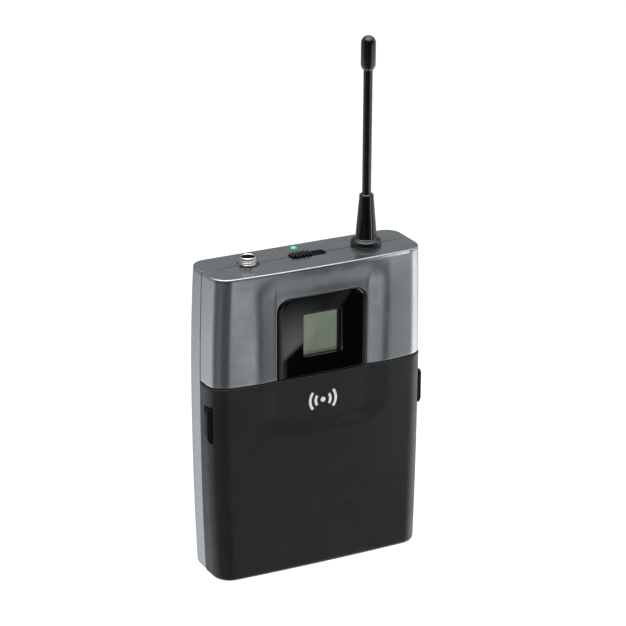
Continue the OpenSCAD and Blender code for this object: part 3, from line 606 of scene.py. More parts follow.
def edge_distance(x, z, half_w, low, high, low_r, high_r):
    """Distance outwards from a rounded rectangle in the face, negative inside it."""
    middle = (low + high) / 2
    r = high_r if z > middle else low_r
    dx = abs(x) - (half_w - r)
    dz = abs(z - middle) - ((high - low) / 2 - r)
    return math.hypot(max(dx, 0), max(dz, 0)) + min(max(dx, dz), 0) - r


def smooth_step(value, start, end):
    """From 0 at start to 1 at end, without a corner at either."""
    t = min(1, max(0, (value - start) / (end - start)))
    return t * t * (3 - 2 * t)


def dish_wall(t):
    """From 1 at the foot of the dish's wall, straight up most of it and then rounding off to 0."""
    t = min(1, max(0, t))
    slope = 2 / (1 + DISH_STRAIGHT)
    if t < DISH_STRAIGHT:
        return 1 - slope * t
    return slope * (1 - t) ** 2 / (2 * (1 - DISH_STRAIGHT))


def dish(x, z):
    """How deep the face is pressed in round the display."""
    dx = max(0, abs(x) - (DISH_HALF_W - DISH_R))
    dz = max(0, DISH_LOW + DISH_R - z)
    outside = math.hypot(dx, dz) - DISH_R
    towards_low = (dz / math.hypot(dx, dz)) ** 2 if dz > 0 else 0
    width = DISH_SIDE_BLEND + (DISH_LOW_BLEND - DISH_SIDE_BLEND) * towards_low
    return DISH_DEPTH * dish_wall(outside / width) * (1 - smooth_step(z, DISH_FADE_LOW, DISH_FADE_HIGH))


def face_y(x, z):
    """The front face of the case at a point."""
    bow = CHORD ** 2 / (2 * face_sag(z))
    return PART_Y - (face_depth(z) - bow + math.sqrt(bow ** 2 - x ** 2)) + dish(x, z)


def half_outline(half_w, face, sag, corner, rim, inset):
    """(x, depth) points of a level outline, from the middle of the face to the rim."""
    bow = CHORD ** 2 / (2 * sag)
    corner_x = half_w - corner
    corner_d = face - bow + math.sqrt((bow - corner) ** 2 - corner_x ** 2)
    join = math.degrees(math.asin(corner_x / (bow - corner)))
    side_x = half_w - inset
    points = arc(0, face - bow, bow - inset, 90, 90 - join, FACE_STEPS)[:-1]
    points += arc(corner_x, corner_d, corner - inset, 90 - join, 0, CORNER_STEPS)[:-1]
    points += [(side_x, d) for d in spaced(corner_d, rim + RIM_R, SIDE_STEPS)][:-1]
    points += arc(side_x - RIM_R, rim + RIM_R, RIM_R, 0, -90, RIM_STEPS)
    return points


def case_solid(facing, levels, outline, pressed=False):
    """A solid of level outlines in front of the parting plane (facing -1) or behind it (1).

    outline(z, inset) gives half of an outline. A pressed solid has the dish in its face.
    """
    rings = []
    for z, inset in levels:
        half = outline(z, inset)
        whole = [(-x, d) for x, d in reversed(half[1:])] + half
        ring = []
        for x, d in whole:
            press = dish(x, z) if pressed and d > FACE_DEPTH / 2 else 0
            ring.append((x, PART_Y + facing * (d - press), z))
        rings.append(ring)
    return lofted(rings)


JACK_HOLE_R = 2.45
JACK_RECESS_R = 3.25
JACK_RECESS = 0.8
ANTENNA_HOLE_R = 2.65
PIPE_HOLE_R = 1.08
SLOT = (-5.4, PART_Y - 2, 5.6, PART_Y + 2)
SLOT_R = 1.0
TOP_CUT = (CASE_H - 3, CASE_H + PAST)


def top_cutters():
    """The openings in the top wall: jack and its recess, antenna, mute slot."""
    return [
        prism(circle(JACK_X, PART_Y, JACK_HOLE_R), "Z", *TOP_CUT),
        prism(circle(JACK_X, PART_Y, JACK_RECESS_R, 64), "Z", CASE_H - JACK_RECESS, CASE_H + PAST),
        prism(circle(ANTENNA_X, PART_Y, ANTENNA_HOLE_R), "Z", *TOP_CUT),
        prism(rounded_rect(*SLOT, SLOT_R), "Z", *TOP_CUT),
    ]


def window_outline(offset):
    """The display window's sides and top as (x, z) points, moved outwards by offset."""
    half, top, r = WINDOW_HALF_W + offset, WINDOW_TOP + offset, WINDOW_R + offset
    left = [(-half, z) for z in spaced(WINDOW_LOW, top - r, 24)][:-1]
    corner = arc(-half + r, top - r, r, 180, 90, 8)
    across = [(x, top) for x in spaced(-half + r, 0, 10)][1:]
    points = left + corner + across
    return points + [(-x, z) for x, z in reversed(points[:-1])]


def window_lip():
    """The rounded edge of the window opening in the front case.

    The profile gives how far outside the window's edge and how far behind the face each point lies.
    """
    gap, depth, overlap = 0.1, 1.2, 0.005
    profile = [(WINDOW_LIP, -overlap), (0.2, 0.02), (0.13, 0.08), (gap, 0.18), (gap, depth)]
    profile.append((WINDOW_LIP, depth))
    outlines = [window_outline(offset) for offset, drop in profile]
    rings = []
    for i in range(len(outlines[0])):
        x, z = outlines[0][i]
        y = face_y(x, z)
        rings.append([(o[i][0], y + drop, o[i][1]) for o, (offset, drop) in zip(outlines, profile)])
    return lofted(rings)


HOLLOW_SAG = 1.0
HOLLOW_RIM = -1.0
LEVEL_PITCH = 0.6
FRONT_FACE_WALL = 1.7
FRONT_HOLLOW_CORNER = 4.0
FRONT_LOW_EDGE = 0.2
WINDOW_CUT_BACK = -5.0


def make_front_case():
    """The silver front half: a shell with the dish, the window opening and its lip."""
    def outer(z, inset):
        return half_outline(half_width(z), face_depth(z), face_sag(z), FRONT_CORNER, SEAM_HALF, inset)

    def inner(z, inset):
        return half_outline(half_width(z) - CASE_WALL, FACE_DEPTH - FRONT_FACE_WALL, HOLLOW_SAG,
                            FRONT_HOLLOW_CORNER, HOLLOW_RIM, inset)

    levels = edge_levels(FRONT_LOW.z, CASE_H, FRONT_LOW_EDGE, TOP_FILLET, LEVEL_PITCH)
    hollow = [(FRONT_LOW.z - PAST, 0), (CASE_H - TOP_WALL, 0)]
    low = WINDOW_LOW - PAST
    window = [(x, max(z, low)) for x, z in window_outline(WINDOW_LIP)]
    window = [(window[0][0], low)] + window + [(window[-1][0], low)]
    shell = carved(
        case_solid(-1, levels, outer, pressed=True),
        case_solid(-1, hollow, inner),
        prism(window, "Y", FRONT_LOW.y - PAST, WINDOW_CUT_BACK),
        *top_cutters(),
    )
    make_piece("front_shell", joined(shell, window_lip()), "silver_paint", "front_case")


CLIP_AXIS_Y = 15.6
CLIP_AXIS_Z = 76.0
BOSS_HALF_W = 13.0
BOSS_HALF_H = 2.4
BOSS_EDGE = 0.5
BOSS_ROOT = 0.6
CLIP_HOLE_R = 1.05
CLIP_HOLE_LENGTH = 6.0
CLIP_HOLES_X = (-14.0, 8.0)


def clip_boss():
    """The block on the back that holds the belt clip's wire."""
    root_y = BACK_Y - BOSS_ROOT
    nose = arc(CLIP_AXIS_Y, CLIP_AXIS_Z, BOSS_HALF_H, 90, -90, 12)
    root = [(root_y, CLIP_AXIS_Z - BOSS_HALF_H), (root_y, CLIP_AXIS_Z + BOSS_HALF_H)]
    rings = []
    for x, inset in edge_levels(-BOSS_HALF_W, BOSS_HALF_W, BOSS_EDGE, BOSS_EDGE, 4.0, 3):
        share = 1 - inset / BOSS_HALF_H
        ring = []
        for y, z in nose + root:
            forward = (y - CLIP_AXIS_Y) * (share if y > CLIP_AXIS_Y else 1)
            ring.append((x, CLIP_AXIS_Y + forward, CLIP_AXIS_Z + (z - CLIP_AXIS_Z) * share))
        rings.append(ring)
    hole = circle(CLIP_AXIS_Y, CLIP_AXIS_Z, CLIP_HOLE_R, 32)
    return carved(lofted(rings), *[prism(hole, "X", x, x + CLIP_HOLE_LENGTH) for x in CLIP_HOLES_X])


STRIKE_X = (30.5, 31.2)
STRIKE_ROOT_X = (30.5, 31.6)
STRIKE_Z = (43, 51)
STRIKE_FRONT_Y = -1.3
STRIKE_BACK_Y = 2.5


def strike():
    """The ledge in the rear case that a catch holds on."""
    (x0, x1), (root_x0, root_x1), (low, high) = STRIKE_X, STRIKE_ROOT_X, STRIKE_Z
    ledge = soft_block((x0, STRIKE_FRONT_Y, low), (x1, PART_Y, high), 0.12)
    root = soft_block((root_x0, PART_Y - 0.1, low), (root_x1, STRIKE_BACK_Y, high), 0.12)
    return joined(ledge, root)


REAR_LEVEL_PITCH = 1.2
REAR_HOLLOW_CORNER = 3.2
SCREW_CUT_R = 2.0
SCREW_CUT_DEPTH = 1.3


def make_rear_case():
    """The silver rear half: a shell with the clip's block, the strikes and the screw holes."""
    def outer(z, inset):
        depth = BACK_DEPTH - crown(z, BACK_CROWN, BACK_CROWN)
        return half_outline(half_width(z), depth, BACK_SAG, REAR_CORNER, SEAM_HALF, inset)

    def inner(z, inset):
        return half_outline(half_width(z) - CASE_WALL, BACK_DEPTH - CASE_WALL, BACK_SAG,
                            REAR_HOLLOW_CORNER, HOLLOW_RIM, inset)

    levels = edge_levels(0, CASE_H, BASE_FILLET, TOP_FILLET, REAR_LEVEL_PITCH)
    hollow = [(z, 0) for z in (CASE_WALL, CASE_H / 3, CASE_H * 2 / 3, CASE_H - TOP_WALL)]
    screw_cuts = []
    for x, z in SCREW_PLACES:
        screw_cuts.append(prism(circle(x, z, SCREW_CUT_R), "Y", BACK_Y - SCREW_CUT_DEPTH, BACK_Y + PAST))
    shell = carved(
        case_solid(1, levels, outer),
        case_solid(1, hollow, inner),
        prism(circle(PIPE_X, PIPE_Y, PIPE_HOLE_R, 32), "Z", *TOP_CUT),
        *top_cutters(),
        *screw_cuts,
    )
    parts = joined(shell, clip_boss(), strike(), mirrored(strike()))
    make_piece("rear_shell", parts, "silver_paint", "rear_case")


COVER_HOLLOW_FACE = 8.9
COVER_HOLLOW_CORNER = 4.2
COVER_TOP_EDGE = 0.25
COVER_FLOOR = 1.4
COVER_FLOOR_CUT_TOP = 2.0
FLOOR_CUT_HALF_W = 30.2
FLOOR_CUT_FRONT = HINGE_Y - 2.6
FLOOR_CUT_BACK = 8.0
FAR = 40.0
REAR_CUT = 12.0
CATCH_HOLE = (-6.1, 41.65, -2.35, 52.35)
CATCH_HOLE_R = 0.4
CATCH_HOLE_X = (29, 36)
LUG_X = (29.6, 30.8)
LUG_R = 2.4
LUG_BORE_R = 0.84


def make_battery_cover():
    """The black cover: a shell with hinge lugs, catch openings and a rib behind each catch."""
    def outer(z, inset):
        corner = FRONT_CORNER + COVER_PROUD
        return half_outline(half_width(z) + COVER_PROUD, face_depth(z) + COVER_PROUD, face_sag(z),
                            corner, COVER_RIM, inset)

    def inner(z, inset):
        return half_outline(half_width(z) + COVER_PROUD - COVER_WALL, PART_Y + COVER_HOLLOW_FACE,
                            HOLLOW_SAG, COVER_HOLLOW_CORNER, HOLLOW_RIM, inset)

    levels = edge_levels(0, COVER_HIGH.z, BASE_FILLET, COVER_TOP_EDGE, LEVEL_PITCH)
    hollow = [(z, 0) for z in spaced(COVER_FLOOR, COVER_HIGH.z + PAST, 8)]
    rear_corner = arc(HINGE_Y, HINGE_Z, COVER_HIGH.y - HINGE_Y, -90, 0, 12)
    rear_corner += [(REAR_CUT, HINGE_Z), (REAR_CUT, -PAST), (HINGE_Y, -PAST)]
    floor_cut = rounded_rect(-FLOOR_CUT_HALF_W, FLOOR_CUT_FRONT, FLOOR_CUT_HALF_W, FLOOR_CUT_BACK, 0.3)
    catch_hole = prism(rounded_rect(*CATCH_HOLE, CATCH_HOLE_R), "X", *CATCH_HOLE_X)
    shell = carved(
        case_solid(-1, levels, outer, pressed=True),
        case_solid(-1, hollow, inner),
        prism(rear_corner, "X", -FAR, FAR),
        prism(floor_cut, "Z", -PAST, COVER_FLOOR_CUT_TOP),
        catch_hole,
        mirrored(catch_hole),
    )
    (start, end) = LUG_X
    profile = [(LUG_BORE_R, start), (LUG_R, start), (LUG_R, end), (LUG_BORE_R, end)]
    lug = lathe(profile, "X", HINGE_Y, HINGE_Z, 48)
    rib = soft_block((27.5, -8.1, 44), (28.2, HINGE_Y, 50), 0.1)
    parts = joined(shell, lug, mirrored(lug), rib, mirrored(rib))
    make_piece("cover_shell", parts, "cover_black", "battery_cover", "cover")


make_front_case()
make_rear_case()
make_battery_cover()


# ---- display

def bowed_plate(half_w, low, high, low_r, high_r, rise, back_y, edge):
    """A plate that follows the bowed face, with round corners and a rounded front edge."""
    edges = [0, edge * 0.15, edge * 0.5, edge]
    turns = [1 - math.cos(math.radians(a)) for a in spaced(0, 90, 7)]
    rows = {low + e for e in edges} | {high - e for e in edges}
    rows |= {low + low_r * t for t in turns} | {high - high_r * t for t in turns}
    rows |= set(spaced(low + low_r, high - high_r, 16))
    rows = sorted({round(z, 4) for z in rows})
    points = []
    for z in rows:
        w = half_w
        if z > high - high_r:
            w = half_w - high_r + math.sqrt(max(0, high_r ** 2 - (z - high + high_r) ** 2))
        elif z < low + low_r:
            w = half_w - low_r + math.sqrt(max(0, low_r ** 2 - (low + low_r - z) ** 2))
        xs = [-w + e for e in edges[:-1]]
        xs += spaced(edge - w, w - edge, 24)
        xs += [w - e for e in reversed(edges[:-1])]
        for x in xs:
            inside = -edge_distance(x, z, half_w, low, high, low_r, high_r)
            t = 1 - min(1, max(0, inside / edge))
            points.append((x, face_y(x, z) - rise + edge * (1 - math.sqrt(1 - t * t)), z))
    across, up = len(xs), len(rows)
    faces = []
    for j in range(up - 1):
        for a in range(j * across, (j + 1) * across - 1):
            faces.append([a, a + 1, a + across + 1, a + across])
    rim = list(range(across))
    rim += [(j + 1) * across - 1 for j in range(1, up)]
    rim += [(up - 1) * across + i for i in range(across - 2, -1, -1)]
    rim += [j * across for j in range(up - 2, 0, -1)]
    start, count = len(points), len(rim)
    points += [(points[i][0], back_y, points[i][2]) for i in rim]
    faces += [[rim[i], rim[(i + 1) % count], start + (i + 1) % count, start + i] for i in range(count)]
    faces.append([start + i for i in range(count)])
    return points, faces


WINDOW_BACK_Y = -7.75
WINDOW_RISE = 0.12
WINDOW_EDGE = 0.28
WINDOW_LOW_R = 0.3
VIEW_CUT = (-12, -5)
LENS_BACK_Y = -9.1
LENS_RISE = 0.1
LENS_EDGE = 0.16
LENS_GAP = 0.06
SOFT_ANGLE = 40


def make_display():
    """The gloss window with its opening, and the clear lens that fills the opening."""
    window = bowed_plate(WINDOW_HALF_W, WINDOW_LOW, WINDOW_TOP, WINDOW_LOW_R, WINDOW_R,
                         WINDOW_RISE, WINDOW_BACK_Y, WINDOW_EDGE)
    view = rounded_rect(-VIEW_HALF_W, VIEW_LOW, VIEW_HALF_W, VIEW_HIGH, VIEW_R)
    window = carved(window, prism(view, "Y", *VIEW_CUT))
    make_piece("window_bezel", window, "gloss_black", "window_panel", angle=SOFT_ANGLE)
    lens = bowed_plate(VIEW_HALF_W - LENS_GAP, VIEW_LOW + LENS_GAP, VIEW_HIGH - LENS_GAP, VIEW_R, VIEW_R,
                       LENS_RISE, LENS_BACK_Y, LENS_EDGE)
    make_piece("lens_pane", lens, "clear_lens", "display_lens", angle=SOFT_ANGLE)


make_display()


# ---- catches

def make_catch(side):
    """The press pad with tapered ends, its guide flange and its latch leg."""
    pad_x, leg_x, out_x = 31.0, 29.5, node_box("catch_right")[1].x
    front, back = -5.75, -2.7
    pad_low, pad_high = 42.0, 52.0
    edge, corner, taper, taper_length = 0.3, 0.35, 0.45, 1.1
    rings = []
    for z, inset in edge_levels(pad_low, pad_high, edge, edge, 0.9, 3):
        from_end = min(z - pad_low, pad_high - z)
        out = out_x - taper * max(0, 1 - from_end / taper_length) ** 2 - inset
        r = corner - min(inset, edge) * 0.5
        outline = rounded_rect(pad_x, front + inset * 0.5, out, back - inset * 0.5, r, 4)
        rings.append([(x, y, z) for x, y in outline])
    flange = soft_block((leg_x, front - 0.15, 40.4), (31.2, back + 0.8, 53.6), 0.2)
    leg = soft_block((leg_x, back, 43.5), (30.3, -0.2, 50.5), 0.15)
    part = joined(lofted(rings), flange, leg)
    if side == "left":
        part = mirrored(part)
    make_piece("catch_pad_" + side, part, "catch_black", "catch_" + side, side + "_catch")


make_catch("right")
make_catch("left")


# ---- top fittings

def node_radius(node):
    """Radius of an upright round node."""
    low, high = node_box(node)
    return (high.x - low.x) / 2


def make_antenna():
    """The flanged boot with its tapering neck, the thin whip and the capsule at its end."""
    low, top = BOOT_LOW.z, BOOT_HIGH.z
    bore, foot_r, waist_r, flange_r, neck_r, end_r = 1.29, 3.2, 2.6, 4.38, 2.95, 2.05
    base = low + 3.25
    foot_top, flange_top, neck_low, neck_top = base - 1.95, base + 1.85, base + 3, top - 1.2
    rim_r, shoulder_r, hollow_r, tip_r = 0.35, 1.0, 0.62, 0.7
    profile = [(bore, low), (foot_r, low), (foot_r, foot_top), (waist_r, foot_top), (waist_r, base)]
    profile += arc(flange_r - rim_r, base + rim_r, rim_r, -90, 0, 4)
    profile += arc(flange_r - shoulder_r, base + 0.85, shoulder_r, 0, 78, 8)
    profile += arc(neck_r + hollow_r, flange_top + 0.6, hollow_r, 248, 186, 6)
    profile += list(zip(spaced(neck_r, end_r, 8), spaced(neck_low, neck_top, 8)))
    profile += arc(end_r - tip_r, top - tip_r, tip_r, 8, 90, 6)
    profile += [(bore, top)]
    boot = lathe(profile, "Z", ANTENNA_X, PART_Y, 72)
    make_piece("whip_boot", boot, "antenna_rubber", "antenna_boot", angle=SOFT_ANGLE)

    low, high = node_box("antenna_whip")
    r = node_radius("antenna_whip")
    rod = [(0, low.z)] + [(r, z) for z in spaced(low.z, high.z, 10)] + [(0, high.z)]
    rod = lathe(rod, "Z", ANTENNA_X, PART_Y, 40)
    make_piece("whip_rod", rod, "antenna_rubber", "antenna_whip")

    low, high = node_box("antenna_tip")
    r = node_radius("antenna_tip")
    cap = arc(0, low.z + r, r, -90, 0, 10) + arc(0, high.z - r, r, 0, 90, 12)
    cap = lathe(cap, "Z", ANTENNA_X, PART_Y, 56)
    make_piece("whip_cap", cap, "antenna_rubber", "antenna_tip")


def make_jack():
    """The jack's collar: a fine screw thread, chamfers and a plain bore."""
    low, high = JACK_LOW.z, JACK_HIGH.z
    collar_r, bore, pitch, cut, groove_w = 2.35, 1.8, 0.5, 0.17, 0.32
    barrel_r, flange_r = collar_r - 0.25, node_radius("jack_bush")
    flange_low, flange_top, bore_low = 86.8, 88.0, high - 6
    thread_low, thread_high = CASE_H + 0.1, high - 0.3
    sides = 72

    def ring(z, radius_at):
        points = []
        for i in range(sides):
            a = 2 * math.pi * i / sides
            q = radius_at(a)
            points.append((JACK_X + q * math.cos(a), PART_Y + q * math.sin(a), z))
        return points

    def plain(z, radius):
        return ring(z, lambda a: radius)

    def threaded(z):
        fade = min(1, max(0, (high - 0.35 - z) / 0.3))
        return ring(z, lambda a: collar_r - cut * fade * max(
            0, 1 - abs((z / pitch - a / (2 * math.pi)) % 1 - 0.5) / groove_w))

    rings = [plain(low, barrel_r), plain(flange_low, barrel_r), plain(flange_low, flange_r)]
    rings += [plain(flange_top, flange_r), plain(flange_top, barrel_r), plain(thread_low - 0.05, barrel_r)]
    rings += [threaded(z) for z in spaced(thread_low, thread_high, 40)]
    rings += [plain(high - 0.1, collar_r - 0.12), plain(high, collar_r - 0.24), plain(high, bore + 0.18)]
    rings += [plain(high - 0.16, bore), plain(bore_low, bore), plain(low, bore)]
    make_piece("jack_collar", lofted(rings, loop=True), "nickel", "jack_bush", angle=30)


def make_knob():
    """The mute slider: a ribbed top on a stem, a plate under the top wall, and two legs for the lever."""
    low, high = node_box("mute_knob")
    left, width, rib_count = -5.2, 6.4, 6
    front, back = PART_Y - 1.8, PART_Y + 1.8
    plate_low, plate_top, stem_top = 87.3, 87.95, CASE_H - 0.25
    leg_w, leg_half_d = 0.7, 1
    rib_half_w, rib_inset, end_inset = 0.3, 0.02, 0.35
    stem = soft_block((left, front, 87.9), (left + width, back, stem_top), 0.15, 0.9)
    plate = soft_block((low.x, low.y, plate_low), (high.x, high.y, plate_top), 0.1)
    parts = [stem, plate]
    for x in (-3.2, -1.5):
        leg_low = (x, PART_Y - leg_half_d, low.z)
        parts.append(soft_block(leg_low, (x + leg_w, PART_Y + leg_half_d, 87.4), 0.1))
    for i in range(rib_count):
        x = left + width / rib_count * (i + 0.5)
        inset = rib_inset + (end_inset if i in (0, rib_count - 1) else 0)
        rib_low = (x - rib_half_w, front + inset, CASE_H - 0.5)
        parts.append(soft_block(rib_low, (x + rib_half_w, back - inset, high.z), 0.14, 0.22))
    make_piece("slider_knob", joined(*parts), "knob_black", "mute_knob", "mute_slider")


def make_light_pipe():
    """The green light pipe with its shallow dome."""
    r, dome_r, rim = 1.0, 2.2, 0.1
    dome_z = PIPE_HIGH.z - dome_r
    shoulder = dome_z + math.sqrt(dome_r ** 2 - (r - rim) ** 2) - rim
    dome = [(q, dome_z + math.sqrt(dome_r ** 2 - q ** 2)) for q in spaced(r - rim, 0, 6)]
    pipe = lathe([(0, PIPE_LOW.z), (r, PIPE_LOW.z), (r, shoulder)] + dome, "Z", PIPE_X, PIPE_Y, 40)
    make_piece("pipe_dome", pipe, "led_green", "led_light_pipe")


make_antenna()
make_jack()
make_knob()
make_light_pipe()


# ---- emblem

SIGN_SPREAD = 38.0
SIGN_LINE = 0.8
SIGN_SUNK = -0.3
SIGN_INNER_R = 2.3


def make_emblem():
    """A generic radio sign: a dot between two pairs of arcs, laid on the face of the cover."""
    low, high = node_box("cover_emblem")
    middle_z = (low.z + high.z) / 2
    half = SIGN_LINE / 2
    section = [(half, SIGN_SUNK), (half, 0.05), (half - 0.07, 0.09)]
    section = [(-q, lift) for q, lift in section] + section[::-1]

    def on_face(x, z, lift):
        return (x, face_y(x, z) - COVER_PROUD - lift, z)

    def band(r):
        rings = []
        for a in spaced(-SIGN_SPREAD, SIGN_SPREAD, 18):
            c, s = math.cos(math.radians(a)), math.sin(math.radians(a))
            rings.append([on_face((r + q) * c, middle_z + (r + q) * s, lift) for q, lift in section])
        return lofted(rings)

    dot = []
    for r, lift in ((0.75, SIGN_SUNK), (0.75, 0.05), (0.68, 0.09), (0.3, 0.1)):
        dot.append([on_face(x, z, lift) for x, z in circle(0, middle_z, r, 32)])
    arcs = [band(r) for r in (SIGN_INNER_R, high.x - half)]
    part = joined(lofted(dot), *arcs, *[mirrored(a) for a in arcs])
    make_piece("radio_sign", part, "emblem_silver", "cover_emblem", "cover")


make_emblem()


# ---- belt clip

CLIP_WIRE_R = 0.98
CLIP_HALF_W = 15.6
CLIP_CORNERS = [(9.0, CLIP_AXIS_Y, CLIP_AXIS_Z), (CLIP_HALF_W, CLIP_AXIS_Y, CLIP_AXIS_Z),
                (CLIP_HALF_W, CLIP_AXIS_Y, 46.5), (CLIP_HALF_W, 11.1, 34.5),
                (CLIP_HALF_W, 13.9, 29.5), (0.0, 13.9, 29.5)]
CLIP_BENDS = [2.2, 6.0, 4.0, 2.2]


def make_clip():
    """Bent spring wire: two legs joined by a cross bar, with its ends in the block on the back."""
    corners = [Vector(p) for p in CLIP_CORNERS]
    path = [corners[0], (corners[0] + corners[1]) / 2]
    for a, p, c, r in zip(corners, corners[1:], corners[2:], CLIP_BENDS):
        u, v = (a - p).normalized(), (c - p).normalized()
        half = u.angle(v) / 2
        centre = p + (u + v).normalized() * (r / math.sin(half))
        start, end = p + u * (r / math.tan(half)), p + v * (r / math.tan(half))
        sweep = math.pi - 2 * half
        for t in spaced(0, 1, 12):
            from_start = math.sin((1 - t) * sweep) / math.sin(sweep)
            from_end = math.sin(t * sweep) / math.sin(sweep)
            path.append(centre + (start - centre) * from_start + (end - centre) * from_end)
    path += [Vector((-p.x, p.y, p.z)) for p in reversed(path)]
    make_piece("clip_wire", swept(path, CLIP_WIRE_R, 20), "spring_steel", "belt_clip", "clip", angle=50)


make_clip()


# ---- buttons, cells and pad

def make_button(key, slot, corner):
    """A push button with a hollowed top and a flange behind the panel."""
    low, high = node_box(key + "_button")
    flange, flange_h, bowl_r, bowl_depth, bowl_mouth_r = 0.8, 0.4, 12.0, 0.22, 4.5
    cap_low = (low.x + flange, low.y, low.z + flange)
    cap_high = (high.x - flange, high.y, high.z - flange)
    cap = soft_block(cap_low, cap_high, 0.25, corner, "Y", 4)
    bowl = [(0, low.y - PAST), (bowl_mouth_r, low.y - PAST)]
    bowl += arc(0, low.y + bowl_depth - bowl_r, bowl_r, 22, 90, 8)
    bowl = lathe(bowl, "Y", (low.x + high.x) / 2, (low.z + high.z) / 2)
    skirt = soft_block((low.x, high.y - flange_h, low.z), tuple(high), 0.1, corner + flange * 0.6, "Y")
    make_piece(key + "_cap", joined(carved(cap, bowl), skirt), slot, key + "_button", key + "_key")


make_button("power", "button_red", 2.9)
make_button("set", "button_grey", 2.9)
make_button("up", "button_grey", 1.0)
make_button("down", "button_grey", 1.0)


def make_cell(name, plus):
    """A cell with crimped shoulders; plus is the side of its nub."""
    node = name + "_battery"
    low, high = node_box(node)
    length, r = high.x - low.x, (high.z - low.z) / 2
    nub, nub_r, nub_edge, foot_edge, shoulder = 1.3, 2.75, 0.25, 0.5, 0.6
    body = length - nub
    profile = [(0, 0.15), (4.6, 0.15), (4.9, 0), (r - 0.9, 0)]
    profile += arc(r - foot_edge, foot_edge, foot_edge, -90, 0, 4)
    profile += [(r, x) for x in spaced(2, body - 2, 6)]
    profile += arc(r - shoulder, body - shoulder, shoulder, 0, 90, 4)
    profile += [(r - 1.2, body - 0.15), (3.4, body - 0.1), (nub_r, body + 0.1)]
    profile += arc(nub_r - nub_edge, length - nub_edge, nub_edge, 0, 90, 3) + [(0, length)]
    start = low.x if plus > 0 else high.x
    profile = [(q, start + plus * w) for q, w in profile]
    cell = lathe(profile, "X", (low.y + high.y) / 2, (low.z + high.z) / 2, 72)
    make_piece("cell_" + name, cell, "battery_wrap", node)


make_cell("lower", 1)
make_cell("upper", -1)


def coil(node, start, end, start_r, end_r, wire_r, turns, steps):
    """A coil spring along the x axis, in the middle of a node's box."""
    low, high = node_box(node)
    cy, cz = (low.y + high.y) / 2, (low.z + high.z) / 2
    path = []
    for t in spaced(0, 1, turns * steps):
        a = 2 * math.pi * turns * t
        r = start_r + (end_r - start_r) * t
        path.append((start + (end - start) * t, cy + r * math.cos(a), cz + r * math.sin(a)))
    return swept(path, wire_r, 10)


def make_cell_springs():
    """Tapered coil springs at the cells' flat ends."""
    seat_x, length, wire_r, wide_r, narrow_r, turns = 27.2, 3.8, 0.35, 4.2, 2.6, 4
    parts = []
    for node, side in (("upper_battery", 1), ("lower_battery", -1)):
        start, end = side * (seat_x - wire_r), side * (seat_x - length + wire_r)
        parts.append(coil(node, start, end, wide_r, narrow_r, wire_r, turns, 20))
    make_piece("cell_coils", joined(*parts), "spring_steel", "battery_springs", angle=50)


make_cell_springs()


def make_pad():
    """The foam strip in the cover, slightly pillowed, with its skin on the cover."""
    low, high = node_box("battery_pad")
    middle = (low + high) / 2
    pillow = 0.12
    pad, faces = soft_block(tuple(low), tuple(high), 0.45, 1.2, "Y", 5)
    points = []
    for x, y, z in pad:
        share = max(abs(x - middle.x) / (high.x - middle.x), abs(z - middle.z) / (high.z - middle.z))
        points.append((x, y - (pillow * share ** 4 if y > middle.y else 0), z))
    piece = make_piece("foam_pad", (points, faces), "foam", "battery_pad", "cover")


make_pad()


def make_catch_spring(side):
    """Coil spring behind a catch, between it and the cover's rib: it rides on the catch."""
    node = "catch_spring_" + side
    low, high = node_box(node)
    wire_r, turns = 0.16, 5
    r = (high.z - low.z) / 2 - wire_r
    wire = coil(node, low.x + wire_r, high.x - wire_r, r, r, wire_r, turns, 24)
    piece = make_piece(side + "_catch_coil", wire, "spring_steel", node, side + "_catch")
    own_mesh(piece)


make_catch_spring("left")
make_catch_spring("right")


# ---- CAD nodes that stay

NODE_SLOTS = {
    "inner_black": ["battery_tray", "keypad_fascia", "jack_body", "board_header"],
    "steel": ["cover_hinge_pins", "rf_shield_can", "mute_switch_body", "board_screws"],
    "black_steel": ["case_screws"],
    "plated_steel": ["bridge_contact", "positive_contact", "negative_contact", "tact_switches"],
    "gilt_brass": ["jack_contacts", "antenna_socket"],
    "white_plastic": ["lcd_holder", "light_guide", "mute_switch_lever", "status_led"],
    "lcd_glass": ["lcd_panel"],
    "elastomer": ["elastomer_strip"],
    "circuit_board": ["panel_board", "main_board"],
    "chip_black": ["display_chip", "radio_chips", "power_inductor"],
    "capacitor_gold": ["filter_capacitors"],
}


def dress(node, slot):
    """Gives a CAD node its material and softens its edges a little."""
    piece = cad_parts[node]
    piece.data.materials.clear()
    piece.data.materials.append(MATERIALS[slot])
    soften = piece.modifiers.new("soften", "BEVEL")
    soften.width = 0.1 * MM
    soften.segments = 2
    soften.limit_method = "ANGLE"
    soften.angle_limit = math.radians(50)


for slot, nodes in NODE_SLOTS.items():
    for node in nodes:
        dress(node, slot)


# ---- camera, light and floor

CAMERA_TURN = 27.5
CAMERA_RISE = 20.94
CAMERA_ROLL = 0.336
CAMERA_TARGET = (0.00173, 0, 0.07249)
CAMERA_DISTANCE = 0.7793
CAMERA_LENS = 160.93


def add_camera():
    """The viewpoint: turned to the left of the front and raised."""
    turn, rise, roll = [math.radians(a) for a in (CAMERA_TURN, CAMERA_RISE, CAMERA_ROLL)]
    look = Vector((math.sin(turn) * math.cos(rise), math.cos(turn) * math.cos(rise), -math.sin(rise)))
    right = Vector((math.cos(turn), -math.sin(turn), 0))
    up = right.cross(look)
    right, up = right * math.cos(roll) + up * math.sin(roll), up * math.cos(roll) - right * math.sin(roll)
    data = bpy.data.cameras.new("camera")
    data.lens = CAMERA_LENS
    data.sensor_width = 36
    data.clip_start = 0.01
    data.clip_end = 50
    pose = Matrix((right, up, -look)).transposed().to_4x4()
    pose.translation = Vector(CAMERA_TARGET) - look * CAMERA_DISTANCE
    camera = add_object("camera", data)
    camera.matrix_world = pose
    bpy.context.scene.camera = camera


